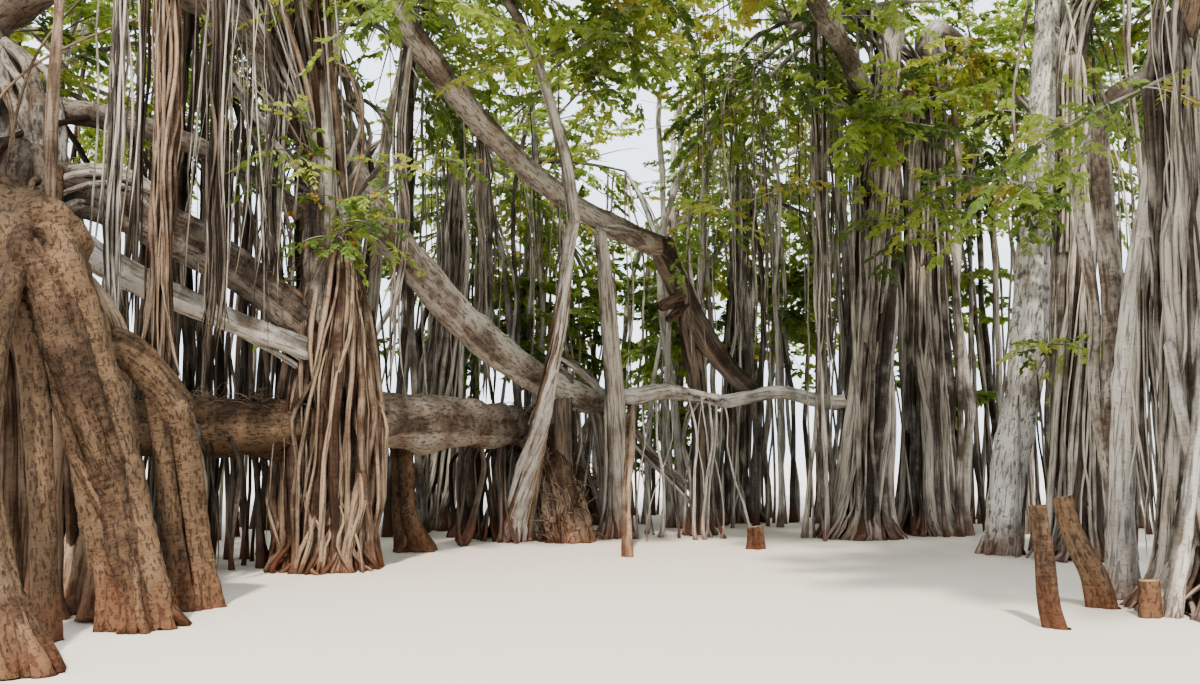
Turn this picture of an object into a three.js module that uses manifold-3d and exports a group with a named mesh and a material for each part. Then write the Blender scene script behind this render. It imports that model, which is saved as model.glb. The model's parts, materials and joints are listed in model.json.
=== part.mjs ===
// A spreading banyan: one fused main trunk, long boughs propped on pillar roots round a clearing,
// and a broad open crown of separate foliage masses.
// Millimetres, +Z up. The origin is the middle of the main trunk's flat foot at ground level.
import * as THREE from 'three';
import { mergeVertices } from 'three/addons/utils/BufferGeometryUtils.js';
import Module from 'manifold-3d';

const wasm = await Module();
wasm.setup();

// Driving sizes. Places are given in metres from the origin, thicknesses are radii in metres.
const metre = 1000;
const gap = 0.35;
const sunk = 0.15;
const thickSides = 8;
const thinSides = 6;
const bentRings = 5;
const straightRings = 2;
const fluteRings = 6;
const footHeight = 0.45;

// Foliage: every leaf stands for a whole spray.
const leafLength = 2.3;
const leafWidth = 1.2;
const leafThickness = 0.14;
const leafSink = 0.03;
const leafSpacing = 0.45;
const stemRadius = 0.085;
const twigRadius = 0.05;
const twigTipRadius = 0.022;
const twigsPerMass = 9;
const leavesPerTwig = 3;
const massMargin = 0.04;
const limbMargin = 0.03;
const goldenAngle = Math.PI * (3 - Math.sqrt(5));

const bark = { roughness: 0.9, metalness: 0 };
const greyBark = new THREE.MeshStandardMaterial({ color: 0x8a8078, ...bark });
const brownBark = new THREE.MeshStandardMaterial({ color: 0x8c6a50, ...bark });
const paleBark = new THREE.MeshStandardMaterial({ color: 0xa59c92, ...bark });
const darkBark = new THREE.MeshStandardMaterial({ color: 0x6b5f56, ...bark });
const leafGreen = new THREE.MeshStandardMaterial({ color: 0x6f8f33, roughness: 0.6, metalness: 0 });

// from and to are a limb's ends, thick and thin the radii there.
// lift raises its middle and bow carries it sideways.
// flare widens a foot, lobes and depth flute a bundle of fused roots, turns winds the flutes round.
const plain = { flare: 0, lift: 0, bow: 0, lobes: 0, depth: 0, turns: 0 };

function limb(name, from, to, thick, thin, material, shape = {}) {
  return { ...plain, name, from, to, thick, thin, material, ...shape };
}

// Limbs in the order they are fitted: each one is cut back where it meets an earlier one.
const limbs = [
  limb('main_trunk', [0, 0, -sunk], [0.2, -0.3, 5.0], 1.0, 0.62, darkBark,
    { flare: 0.4, lobes: 8, depth: 0.14, turns: 0.12 }),
  limb('woven_pillar', [3.45, 1.95, -sunk], [3.6, 1.45, 4.9], 0.68, 0.42, greyBark,
    { flare: 0.16, lobes: 6, depth: 0.16, turns: 0.5 }),
  limb('right_pillar_near', [11.95, 7.2, -sunk], [12.7, 7.0, 9.2], 0.46, 0.27, greyBark,
    { flare: 0.22, lobes: 6, depth: 0.17, turns: 0.25 }),
  limb('right_pillar_far', [13.45, 8.2, -sunk], [13.8, 7.9, 8.6], 0.48, 0.26, greyBark,
    { flare: 0.22, lobes: 6, depth: 0.17, turns: -0.2 }),
  limb('edge_pillar', [13.5, -2.0, -sunk], [13.5, -1.9, 6.2], 0.56, 0.4, greyBark,
    { flare: 0.16, lobes: 6, depth: 0.16, turns: 0.2 }),
  limb('rear_pillar_left', [3.7, 9.3, -sunk], [4.1, 9.9, 7.0], 0.4, 0.22, greyBark,
    { flare: 0.16, lobes: 6, depth: 0.16, turns: 0.2 }),
  limb('rear_pillar_right', [10.2, 11.4, -sunk], [10.5, 12.0, 6.6], 0.4, 0.22, greyBark,
    { flare: 0.16, lobes: 6, depth: 0.16, turns: -0.2 }),
  limb('smooth_trunk', [13.37, 3.95, -sunk], [14.6, 4.1, 9.0], 0.27, 0.21, paleBark,
    { flare: 0.05, lift: -0.1, bow: 0.15 }),
  limb('side_pillar', [14.25, 3.2, -sunk], [14.45, 3.1, 7.6], 0.36, 0.2, greyBark,
    { flare: 0.14, lobes: 6, depth: 0.16, turns: 0.3 }),

  limb('knee_bough', [0.1, -0.5, 4.2], [1.95, -3.05, 3.45], 0.44, 0.37, brownBark, { lift: 0.25 }),
  limb('knee_leg', [3.13, -3.05, -sunk], [1.98, -3.1, 3.5], 0.25, 0.36, brownBark,
    { flare: 0.16, bow: 0.12 }),
  limb('arch_root', [1.9, -2.7, 2.2], [2.93, -2.0, 1.95], 0.17, 0.17, brownBark, { lift: 0.55 }),
  limb('arch_leg', [3.17, -1.75, -sunk], [2.9, -2.02, 2.05], 0.15, 0.17, brownBark,
    { flare: 0.06, bow: 0.08 }),
  limb('inner_leg', [2.2, -1.8, -sunk], [1.35, -2.35, 3.9], 0.13, 0.12, brownBark,
    { flare: 0.07, bow: 0.15 }),
  limb('edge_leg', [3.13, -5.1, -sunk], [1.9, -3.2, 3.4], 0.15, 0.14, brownBark,
    { flare: 0.1, bow: -0.35 }),

  limb('low_bough_near', [0.5, -0.5, 1.9], [3.2, 1.5, 1.9], 0.36, 0.34, brownBark, { bow: -0.2 }),
  limb('low_bough_far', [3.6, 1.9, 1.95], [6.2, 9.6, 1.85], 0.4, 0.34, greyBark, { lift: 0.12, bow: 0.35 }),
  limb('low_bough_heel', [6.95, 11.0, -sunk], [6.1, 9.5, 1.9], 0.42, 0.32, brownBark,
    { lift: 0.35, flare: 0.1 }),
  limb('bough_leg_near', [4.3, 4.45, -sunk], [4.0, 3.9, 2.0], 0.15, 0.15, brownBark, { flare: 0.12 }),
  limb('bough_leg_far', [4.75, 7.3, -sunk], [4.85, 6.6, 1.95], 0.2, 0.2, darkBark, { flare: 0.12 }),

  limb('leader', [0.1, 0.0, 4.8], [-1.3, 0.7, 8.8], 0.44, 0.24, greyBark, { bow: -0.15 }),
  limb('centre_bough_rise', [-0.75, 0.35, 7.1], [2.8, 1.0, 7.0], 0.32, 0.3, greyBark,
    { lift: 0.75, bow: 0.3 }),
  limb('centre_bough_fall', [2.75, 0.98, 7.0], [7.25, 7.6, 2.5], 0.3, 0.25, greyBark, { lift: -1.05 }),
  limb('left_bough_upper', [0.0, -0.3, 4.9], [3.1, 1.3, 3.4], 0.3, 0.22, greyBark,
    { lift: 0.3, bow: 0.1 }),
  limb('left_bough_thin', [-0.3, 0.1, 5.9], [2.6, 3.2, 5.2], 0.17, 0.11, greyBark,
    { lift: 0.25, bow: 0.5 }),
  limb('left_prop', [2.75, 3.9, -sunk], [2.5, 3.5, 7.6], 0.19, 0.1, darkBark, { flare: 0.12 }),
  limb('thick_prop', [6.5, 6.6, -sunk], [6.45, 6.45, 2.9], 0.24, 0.24, darkBark, { flare: 0.1 }),
  limb('leaning_stem_foot', [5.62, 6.4, -sunk], [6.78, 4.0, 5.3], 0.19, 0.14, paleBark,
    { flare: 0.1, bow: -0.1 }),
  limb('leaning_stem_top', [6.77, 4.02, 5.25], [6.0, 3.0, 8.1], 0.14, 0.08, paleBark, { bow: 0.2 }),

  limb('woven_stem', [3.45, 1.2, 4.7], [3.6, 0.55, 9.1], 0.19, 0.15, greyBark),
  limb('crooked_bough', [3.6, 0.6, 8.9], [8.35, 7.0, 5.4], 0.18, 0.19, greyBark,
    { lift: -0.6, bow: -0.5 }),
  limb('grey_prop', [7.5, 7.1, -sunk], [7.2, 5.8, 5.5], 0.2, 0.16, paleBark, { flare: 0.12, bow: -0.1 }),
  limb('level_bough', [7.35, 6.5, 2.55], [12.0, 7.25, 2.5], 0.15, 0.15, paleBark,
    { lift: 0.12, bow: -0.3 }),
  limb('crooked_drop', [8.3, 6.95, 5.45], [10.1, 7.55, 2.75], 0.2, 0.16, darkBark, { lift: -0.45 }),
  limb('drop_prop', [9.1, 7.95, -sunk], [8.95, 7.4, 3.5], 0.17, 0.14, darkBark, { flare: 0.1, bow: -0.1 }),
  limb('thin_root', [7.6, 3.5, -sunk], [7.8, 7.0, 2.5], 0.08, 0.1, brownBark, { flare: 0.06, lift: 0.3 }),

  limb('right_arch_root', [12.9, -0.95, -sunk], [13.4, -1.7, 5.4], 0.14, 0.12, paleBark,
    { flare: 0.06, lift: 0.5, bow: 0.2 }),
  limb('stump_tall', [11.35, -3.05, -sunk], [11.2, -3.0, 1.1], 0.09, 0.09, brownBark),
  limb('stump_leaning', [12.37, -1.75, -sunk], [12.0, -1.7, 1.12], 0.13, 0.1, brownBark),
  limb('stump_short', [12.5, -2.4, -sunk], [12.5, -2.4, 0.35], 0.11, 0.1, brownBark),

  limb('left_bough', [-0.2, -0.2, 4.4], [-4.6, -0.6, 7.8], 0.36, 0.18, greyBark, { lift: 0.5 }),
  limb('back_bough', [-0.1, 0.2, 4.6], [-2.4, 5.4, 7.6], 0.34, 0.17, greyBark, { lift: 0.5 }),
  limb('front_bough', [0.0, -0.6, 4.5], [-1.6, -5.6, 7.2], 0.32, 0.17, greyBark, { lift: 0.5 }),
  limb('over_bough', [12.5, 7.05, 7.6], [9.9, 2.4, 9.0], 0.22, 0.14, greyBark, { lift: 0.3 }),
  limb('edge_bough', [13.5, -1.9, 5.9], [12.9, -4.2, 8.0], 0.26, 0.16, brownBark, { lift: 0.2 }),
  limb('outer_bough', [13.6, -1.9, 5.8], [17.0, -2.4, 7.6], 0.26, 0.16, greyBark, { lift: 0.3 }),
];

function mass(name, limbName, middle, reach, seed) {
  return { name, limbName, middle, reach, seed };
}

// Foliage masses: each hangs on the far end of its limb and keeps to its own egg-shaped space.
const masses = [
  mass('foliage_trunk', 'leader', [-0.4, 0.4, 11.0], [3.7, 3.6, 3.1], 11),
  mass('foliage_left', 'left_bough', [-6.4, -0.9, 9.6], [3.9, 4.0, 3.4], 23),
  mass('foliage_left_back', 'back_bough', [-3.0, 7.0, 9.2], [4.0, 4.0, 3.5], 37),
  mass('foliage_left_front', 'front_bough', [-2.2, -7.2, 9.0], [4.0, 3.9, 3.3], 41),
  mass('foliage_woven', 'left_prop', [3.2, 5.9, 9.4], [3.6, 3.8, 3.5], 53),
  mass('foliage_stem', 'leaning_stem_top', [6.6, 1.6, 10.2], [3.6, 3.7, 3.6], 67),
  mass('foliage_back', 'rear_pillar_left', [4.9, 12.8, 8.2], [4.2, 4.2, 4.2], 97),
  mass('foliage_back_middle', 'rear_pillar_right', [11.0, 14.2, 8.0], [4.0, 4.2, 4.4], 79),
  mass('foliage_clearing', 'over_bough', [10.4, 0.2, 10.2], [3.6, 3.7, 3.2], 83),
  mass('foliage_pillar_near', 'right_pillar_near', [10.9, 7.5, 9.8], [3.8, 3.8, 3.9], 103),
  mass('foliage_pillar_far', 'right_pillar_far', [16.8, 10.6, 9.2], [4.2, 4.2, 4.0], 113),
  mass('foliage_right', 'smooth_trunk', [17.6, 3.8, 10.0], [3.9, 3.7, 3.8], 127),
  mass('foliage_edge', 'edge_bough', [12.4, -6.6, 9.6], [3.8, 3.9, 3.2], 131),
  mass('foliage_outer', 'outer_bough', [18.4, -3.6, 9.2], [3.9, 4.0, 3.4], 149),
];

function place([x, y, z]) {
  return new THREE.Vector3(x, y, z).multiplyScalar(metre);
}

// The middle line of a limb: a single bend whose middle is moved up by lift and sideways by bow.
function limbCurve({ from, to, lift, bow }) {
  const start = place(from);
  const end = place(to);
  const sideways = new THREE.Vector3(end.y - start.y, start.x - end.x, 0);
  if (sideways.length() > 1) sideways.normalize();
  const control = start.clone().add(end).multiplyScalar(0.5);
  control.z += 2 * lift * metre;
  control.addScaledVector(sideways, 2 * bow * metre);
  return new THREE.QuadraticBezierCurve3(start, control, end);
}

function limbRadius(limb, share, angle, height) {
  const taper = limb.thick + (limb.thin - limb.thick) * share;
  const spread = limb.flare * Math.exp(-Math.max(height, 0) / footHeight);
  return (taper + spread) * (1 + limb.depth * Math.cos(limb.lobes * angle)) * metre;
}

function asSolid(geometry) {
  const bare = geometry.clone();
  bare.deleteAttribute('normal');
  bare.deleteAttribute('uv');
  const merged = mergeVertices(bare, 0.001);
  const vertProperties = new Float32Array(merged.attributes.position.array);
  const triVerts = new Uint32Array(merged.index.array);
  return new wasm.Manifold(new wasm.Mesh({ numProp: 3, vertProperties, triVerts }));
}

const ground = asSolid(new THREE.BoxGeometry(80 * metre, 80 * metre, 2 * metre).translate(0, 0, -metre));

// A limb is a closed drum drawn along its middle line, ring by ring; extra makes it thicker for a cut.
function limbSolid(limb, extra = 0) {
  const curve = limbCurve(limb);
  const fluted = limb.lobes > 0;
  const plainSides = Math.max(limb.thick, limb.thin) < 0.2 ? thinSides : thickSides;
  const plainRings = limb.lift === 0 && limb.bow === 0 ? straightRings : bentRings;
  const sides = fluted ? limb.lobes * 3 : plainSides;
  const rings = fluted ? fluteRings : plainRings;
  const frames = curve.computeFrenetFrames(rings, false);
  const drum = new THREE.CylinderGeometry(1, 1, 1, sides, rings);
  const corners = drum.attributes.position;
  const point = new THREE.Vector3();
  for (let i = 0; i < corners.count; i += 1) {
    const share = corners.getY(i) + 0.5;
    const ring = Math.round(share * rings);
    const angle = Math.atan2(corners.getX(i), corners.getZ(i));
    const onAxis = Math.hypot(corners.getX(i), corners.getZ(i)) < 0.5;
    curve.getPointAt(share, point);
    if (!onAxis) {
      const radius = limbRadius(limb, share, angle, point.z / metre) + extra;
      const wound = angle + 2 * Math.PI * limb.turns * share;
      point.addScaledVector(frames.normals[ring], Math.sin(wound) * radius);
      point.addScaledVector(frames.binormals[ring], -Math.cos(wound) * radius);
    }
    const past = ring === 0 ? -extra : ring === rings ? extra : 0;
    point.addScaledVector(frames.tangents[ring], past);
    corners.setXYZ(i, point.x, point.y, point.z);
  }
  const solid = asSolid(drum);
  return limb.from[2] < 0 ? solid.subtract(ground) : solid;
}

// The largest piece is kept, so that no loose scrap stays where one limb runs into another.
function largestPiece(solid) {
  const pieces = solid.decompose();
  return pieces.reduce((best, piece) => (piece.volume() > best.volume() ? piece : best));
}

function boxesMeet(first, second) {
  const a = first.boundingBox();
  const b = second.boundingBox();
  return [0, 1, 2].every((axis) => a.min[axis] <= b.max[axis] && b.min[axis] <= a.max[axis]);
}

function asMesh(solid, name, material) {
  const { vertProperties, triVerts } = solid.getMesh();
  const geometry = new THREE.BufferGeometry();
  geometry.setAttribute('position', new THREE.BufferAttribute(vertProperties, 3));
  geometry.setIndex(new THREE.BufferAttribute(triVerts, 1));
  geometry.computeVertexNormals();
  const mesh = new THREE.Mesh(geometry, material);
  mesh.name = name;
  return mesh;
}

const tree = new THREE.Group();
const fitted = [];
for (const limb of limbs) {
  let solid = limbSolid(limb);
  for (const earlier of fitted) {
    if (boxesMeet(solid, earlier.cutter)) solid = solid.subtract(earlier.cutter);
  }
  solid = largestPiece(solid);
  const samples = [];
  const curve = limbCurve(limb);
  for (let i = 0; i <= 12; i += 1) {
    const at = curve.getPointAt(i / 12);
    samples.push({ at, radius: limbRadius(limb, i / 12, 0, at.z / metre) });
  }
  fitted.push({ limb, cutter: limbSolid(limb, gap), samples });
  tree.add(asMesh(solid, limb.name, limb.material));
}

// A repeatable run of numbers between 0 and 1.
function numbersFrom(seed) {
  let state = seed * 7919;
  return () => {
    state = (state * 16807) % 2147483647;
    return state / 2147483647;
  };
}

// True when a spindle from start to end, as wide as radius, stays clear of every limb.
function clearOfLimbs(start, end, radius) {
  const line = new THREE.Line3(start, end);
  const nearest = new THREE.Vector3();
  return fitted.every(({ samples }) =>
    samples.every((sample, i) => {
      const next = samples[Math.min(i + 1, samples.length - 1)];
      const middle = sample.at.clone().add(next.at).multiplyScalar(0.5);
      const room = Math.max(sample.radius, next.radius) + radius + limbMargin * metre;
      line.closestPointToPoint(middle, true, nearest);
      if (nearest.distanceTo(middle) > room + sample.at.distanceTo(next.at) / 2) return true;
      return [0, 0.25, 0.5, 0.75].every((share) => {
        const at = sample.at.clone().lerp(next.at, share);
        line.closestPointToPoint(at, true, nearest);
        return nearest.distanceTo(at) > room;
      });
    }),
  );
}

// True when every corner lies in the mass's own egg and on its own side of each neighbour.
function insideSpace(mass, corners) {
  const middle = place(mass.middle);
  const size = mass.reach[0];
  return corners.every((corner) => {
    const offset = corner.clone().sub(middle);
    const shares = mass.reach.map((reach, axis) => offset.getComponent(axis) / (reach * metre));
    if (Math.hypot(...shares) > 1) return false;
    return masses.every((other) => {
      if (other === mass) return true;
      const across = place(other.middle).sub(middle);
      const border = (across.length() * size) / (size + other.reach[0]) - massMargin * metre;
      return offset.dot(across.normalize()) < border;
    });
  });
}

// Turns a shape whose length is +Y so that it lies along a direction from a point.
function laid(geometry, start, direction, roll = 0) {
  const turn = new THREE.Quaternion().setFromUnitVectors(new THREE.Vector3(0, 1, 0), direction);
  geometry.rotateY(roll);
  geometry.applyQuaternion(turn);
  geometry.translate(start.x, start.y, start.z);
  return geometry;
}

function twigSolid(start, end, thick, thin) {
  const length = start.distanceTo(end);
  const drum = new THREE.CylinderGeometry(thin * metre, thick * metre, length, 3, 1);
  drum.translate(0, length / 2, 0);
  return laid(drum, start, end.clone().sub(start).normalize());
}

function leafSolid(start, direction, roll) {
  const leaf = new THREE.OctahedronGeometry(1, 0);
  leaf.scale((leafWidth / 2) * metre, (leafLength / 2) * metre, (leafThickness / 2) * metre);
  leaf.translate(0, (leafLength / 2 - leafSink) * metre, 0);
  return laid(leaf, start, direction, roll);
}

function cornersOf(geometry) {
  const corners = [];
  for (let i = 0; i < geometry.attributes.position.count; i += 1) {
    corners.push(new THREE.Vector3().fromBufferAttribute(geometry.attributes.position, i));
  }
  return corners;
}

// The branching rule: a stem to the middle of the mass, twigs spread round it on a spiral,
// and leaves along each twig.
function foliage(mass) {
  const parent = fitted.find(({ limb }) => limb.name === mass.limbName);
  const curve = limbCurve(parent.limb);
  const tip = curve.getPointAt(1);
  const middle = place(mass.middle);
  const random = numbersFrom(mass.seed);
  const pieces = [asSolid(twigSolid(tip, middle, stemRadius, twigRadius))];
  const hearts = [];
  for (let i = 0; i < twigsPerMass; i += 1) {
    const height = 0.88 - (1.76 * (i + 0.5)) / twigsPerMass;
    const angle = i * goldenAngle + mass.seed;
    const flat = Math.sqrt(1 - height * height);
    const outward = new THREE.Vector3(Math.cos(angle) * flat, Math.sin(angle) * flat, height);
    const far = 0.62 + 0.2 * random();
    const reach = new THREE.Vector3(...mass.reach).multiplyScalar(far * metre);
    const twigEnd = outward.clone().multiply(reach).add(middle);
    const twigStart = tip.clone().lerp(middle, 0.45 + (0.5 * (twigsPerMass - i)) / twigsPerMass);
    const twig = twigSolid(twigStart, twigEnd, twigRadius, twigTipRadius);
    const clearTwig = twigStart.clone().lerp(twigEnd, 0.15);
    if (!insideSpace(mass, [twigEnd]) || !clearOfLimbs(clearTwig, twigEnd, twigRadius * metre)) continue;
    pieces.push(asSolid(twig));
    const along = twigEnd.clone().sub(twigStart).normalize();
    const across = new THREE.Vector3(-along.y, along.x, 0.4 * random() - 0.2).normalize();
    for (let j = 0; j < leavesPerTwig; j += 1) {
      const at = twigStart.clone().lerp(twigEnd, j === 0 ? 0.99 : 1 - (0.75 * j) / leavesPerTwig);
      const side = j === 0 ? 0.3 * random() : (j % 2 === 0 ? 1 : -1) * (0.8 + 0.3 * random());
      const direction = along.clone().addScaledVector(across, side);
      direction.z -= 0.25 * random();
      direction.normalize();
      const leaf = leafSolid(at, direction, 1.6 * random() - 0.8);
      const root = at.clone().addScaledVector(direction, -leafSink * metre);
      const end = root.clone().addScaledVector(direction, leafLength * metre);
      const heart = root.clone().lerp(end, 0.5);
      if (hearts.some((other) => other.distanceTo(heart) < leafSpacing * leafLength * metre)) continue;
      if (!insideSpace(mass, cornersOf(leaf)) || !clearOfLimbs(root, end, (leafWidth / 2) * metre)) continue;
      pieces.push(asSolid(leaf));
      hearts.push(heart);
    }
  }
  let solid = wasm.Manifold.union(pieces);
  for (const { cutter } of fitted) {
    if (boxesMeet(solid, cutter)) solid = solid.subtract(cutter);
  }
  return largestPiece(solid);
}

for (const mass of masses) {
  tree.add(asMesh(foliage(mass), mass.name, leafGreen));
}

export default tree;
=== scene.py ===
# A spreading banyan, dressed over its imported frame: bark relief on every limb, woven pillar roots,
# hanging roots, and a crown of fine twigs and leaves. Metres, +Z up, origin at the main trunk's foot.
import json
import math
import bpy
import numpy as np
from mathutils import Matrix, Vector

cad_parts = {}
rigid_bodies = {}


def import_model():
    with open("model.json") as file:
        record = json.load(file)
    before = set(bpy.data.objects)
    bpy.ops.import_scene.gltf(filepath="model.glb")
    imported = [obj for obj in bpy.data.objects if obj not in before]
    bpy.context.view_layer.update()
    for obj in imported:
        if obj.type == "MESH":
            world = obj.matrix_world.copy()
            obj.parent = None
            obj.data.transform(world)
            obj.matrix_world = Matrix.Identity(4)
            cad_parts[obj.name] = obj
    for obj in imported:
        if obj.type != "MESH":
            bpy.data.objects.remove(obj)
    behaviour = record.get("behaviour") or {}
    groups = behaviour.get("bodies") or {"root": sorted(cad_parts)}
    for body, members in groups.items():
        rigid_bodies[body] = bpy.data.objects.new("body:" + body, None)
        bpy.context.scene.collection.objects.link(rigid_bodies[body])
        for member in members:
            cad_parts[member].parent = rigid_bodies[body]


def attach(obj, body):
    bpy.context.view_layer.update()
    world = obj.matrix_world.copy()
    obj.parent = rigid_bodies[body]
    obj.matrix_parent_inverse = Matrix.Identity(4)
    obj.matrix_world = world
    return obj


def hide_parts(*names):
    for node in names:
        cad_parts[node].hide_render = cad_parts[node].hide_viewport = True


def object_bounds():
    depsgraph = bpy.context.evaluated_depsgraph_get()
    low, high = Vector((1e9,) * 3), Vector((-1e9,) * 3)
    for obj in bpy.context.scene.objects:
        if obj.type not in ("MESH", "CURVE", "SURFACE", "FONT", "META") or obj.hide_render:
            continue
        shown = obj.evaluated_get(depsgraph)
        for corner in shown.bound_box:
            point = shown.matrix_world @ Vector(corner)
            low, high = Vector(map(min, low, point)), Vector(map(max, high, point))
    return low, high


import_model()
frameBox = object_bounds()
scene = bpy.context.scene
bpy.ops.object.select_all(action="DESELECT")

# Camera: a person's eye height at the near side of the clearing, tilted a little up
cameraSetup = {"place": (7.2, -13.0, 1.6), "tilt": 5.71, "lens": 32.4, "sensor": 36.0, "farthest": 400}
bpy.ops.object.camera_add(
    location=cameraSetup["place"], rotation=(math.radians(90 + cameraSetup["tilt"]), 0, 0))
camera = bpy.context.object
camera.name = "viewCamera"
camera.data.lens = cameraSetup["lens"]
camera.data.sensor_width = cameraSetup["sensor"]
camera.data.clip_end = cameraSetup["farthest"]
scene.camera = camera


# Shader maths: a wrapped socket adds its own Math nodes
class Wire:
    def __init__(self, finish, socket):
        self.finish = finish
        self.socket = socket

    def math(self, operation, first, second):
        return self.finish.add("ShaderNodeMath", {"operation": operation}, {0: first, 1: second})

    def __add__(self, other):
        return self.math("ADD", self, other)

    def __radd__(self, other):
        return self.math("ADD", other, self)

    def __sub__(self, other):
        return self.math("SUBTRACT", self, other)

    def __rsub__(self, other):
        return self.math("SUBTRACT", other, self)

    def __mul__(self, other):
        return self.math("MULTIPLY", self, other)

    def __rmul__(self, other):
        return self.math("MULTIPLY", other, self)


# One material being built: add() makes any node from its type, settings and sockets
class Finish:
    def __init__(self, name):
        self.material = bpy.data.materials.new(name)
        self.material.use_nodes = True
        self.tree = self.material.node_tree
        self.tree.nodes.clear()

    def add(self, kind, settings, sockets, take=0):
        node = self.tree.nodes.new(kind)
        for key, value in settings.items():
            setattr(node, key, value)
        for key, value in sockets.items():
            if isinstance(value, Wire):
                self.tree.links.new(value.socket, node.inputs[key])
            else:
                node.inputs[key].default_value = value
        return Wire(self, node.outputs[take]) if len(node.outputs) else node

    def place(self):
        return self.add("ShaderNodeTexCoord", {}, {}, take=3)

    def carried(self, name, take=2):
        return self.add("ShaderNodeAttribute", {"attribute_name": name}, {}, take)

    def mixed(self, share, first, second):
        first, second = (value + (1,) if isinstance(value, tuple) else value for value in (first, second))
        return self.add("ShaderNodeMix", {"data_type": "RGBA"}, {0: share, 6: first, 7: second}, take=2)

    def scaled(self, vector, factors):
        return self.add("ShaderNodeVectorMath", {"operation": "MULTIPLY"}, {0: vector, 1: factors})

    def ramp(self, value, low, high):
        return self.add("ShaderNodeMapRange", {"interpolation_type": "SMOOTHSTEP"},
                        {0: value, 1: low, 2: high, 3: 0.0, 4: 1.0})

    def noise(self, vector, scale, detail=4.0, rough=0.55):
        return self.add("ShaderNodeTexNoise", {"noise_dimensions": "3D"},
                        {"Vector": vector, "Scale": scale, "Detail": detail, "Roughness": rough})

    def done(self, colour, rough, bump=None, strength=0.5, depth=0.02, gloss=0.5):
        sockets = {"Base Color": colour, "Roughness": rough, "Specular IOR Level": gloss}
        if bump is not None:
            sockets["Normal"] = self.add("ShaderNodeBump", {}, {
                "Strength": strength, "Distance": depth, "Height": bump})
        shader = self.add("ShaderNodeBsdfPrincipled", {}, sockets)
        self.add("ShaderNodeOutputMaterial", {}, {"Surface": shader})
        return self.material


# Bark. Every limb carries "grain", a seamless position round and along it, "tone", its own shade, and
# "hollowShade", how far a place lies in a knot hole or a split, where the bark is painted near-black as shade
# sunlitAndFlecks: the colour that painted sun patches and small pale flecks take; sunPatches: how much painted
# sunlight lies on the bark
lookKeys = ("slot", "deep", "mid", "sunlitAndFlecks", "sunPatches", "stain", "stretch", "pits", "wrinkles", "blotches")
barkLooks = {name: dict(zip(lookKeys, look)) for name, look in {
    "barkGrey": ("bark_grey", (0.05, 0.038, 0.030), (0.27, 0.215, 0.17), (0.64, 0.585, 0.51),
                 0.55, 0.6, 0.10, 0.25, 0.25, 0),
    "barkBough": ("bark_grey", (0.055, 0.040, 0.030), (0.20, 0.155, 0.12), (0.50, 0.45, 0.39),
                  0.75, 0.6, 0.42, 0.4, 0.5, 0),
    "barkShaded": ("bark_grey", (0.035, 0.025, 0.018), (0.125, 0.092, 0.068), (0.36, 0.31, 0.26),
                   0.6, 0.6, 0.42, 0.4, 0.5, 0),
    "barkBrown": ("bark_brown", (0.045, 0.024, 0.015), (0.215, 0.13, 0.08), (0.50, 0.39, 0.29),
                  0.45, 0.6, 0.12, 0.3, 0.3, 0),
    "barkPitted": ("bark_brown", (0.024, 0.014, 0.009), (0.088, 0.054, 0.032), (0.25, 0.165, 0.10),
                   0.42, 0.48, 0.7, 0.36, 0.6, 0),
    "barkPale": ("bark_pale", (0.10, 0.08, 0.065), (0.40, 0.345, 0.29), (0.72, 0.68, 0.62),
                 0.6, 0.6, 0.14, 0.3, 0.3, 0),
    "barkSmooth": ("bark_pale", (0.11, 0.09, 0.075), (0.47, 0.42, 0.37), (0.74, 0.71, 0.66),
                   0.7, 0.6, 0.35, 0.3, 0.2, 0.8),
    "barkDark": ("bark_dark", (0.022, 0.016, 0.012), (0.12, 0.088, 0.065), (0.30, 0.25, 0.205),
                 0.35, 0.6, 0.10, 0.3, 0.3, 0),
    "barkBurnt": ("bark_dark", (0.006, 0.005, 0.004), (0.028, 0.022, 0.018), (0.11, 0.09, 0.075),
                  0.3, 0, 0.3, 0.7, 0.6, 0),
}.items()}
barkShared = {  # earth: dry red earth rubbed into the feet, up to stainTop
    "earth": (0.165, 0.06, 0.030), "stainTop": 0.62, "warm": (0.25, 0.14, 0.08), "hollowShade": (0.012, 0.008, 0.006),
    "streakScale": 16.0, "wrinkleScale": 26.0, "pitScale": 32.3, "relief": 0.85, "reliefDepth": 0.035,
}


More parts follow.
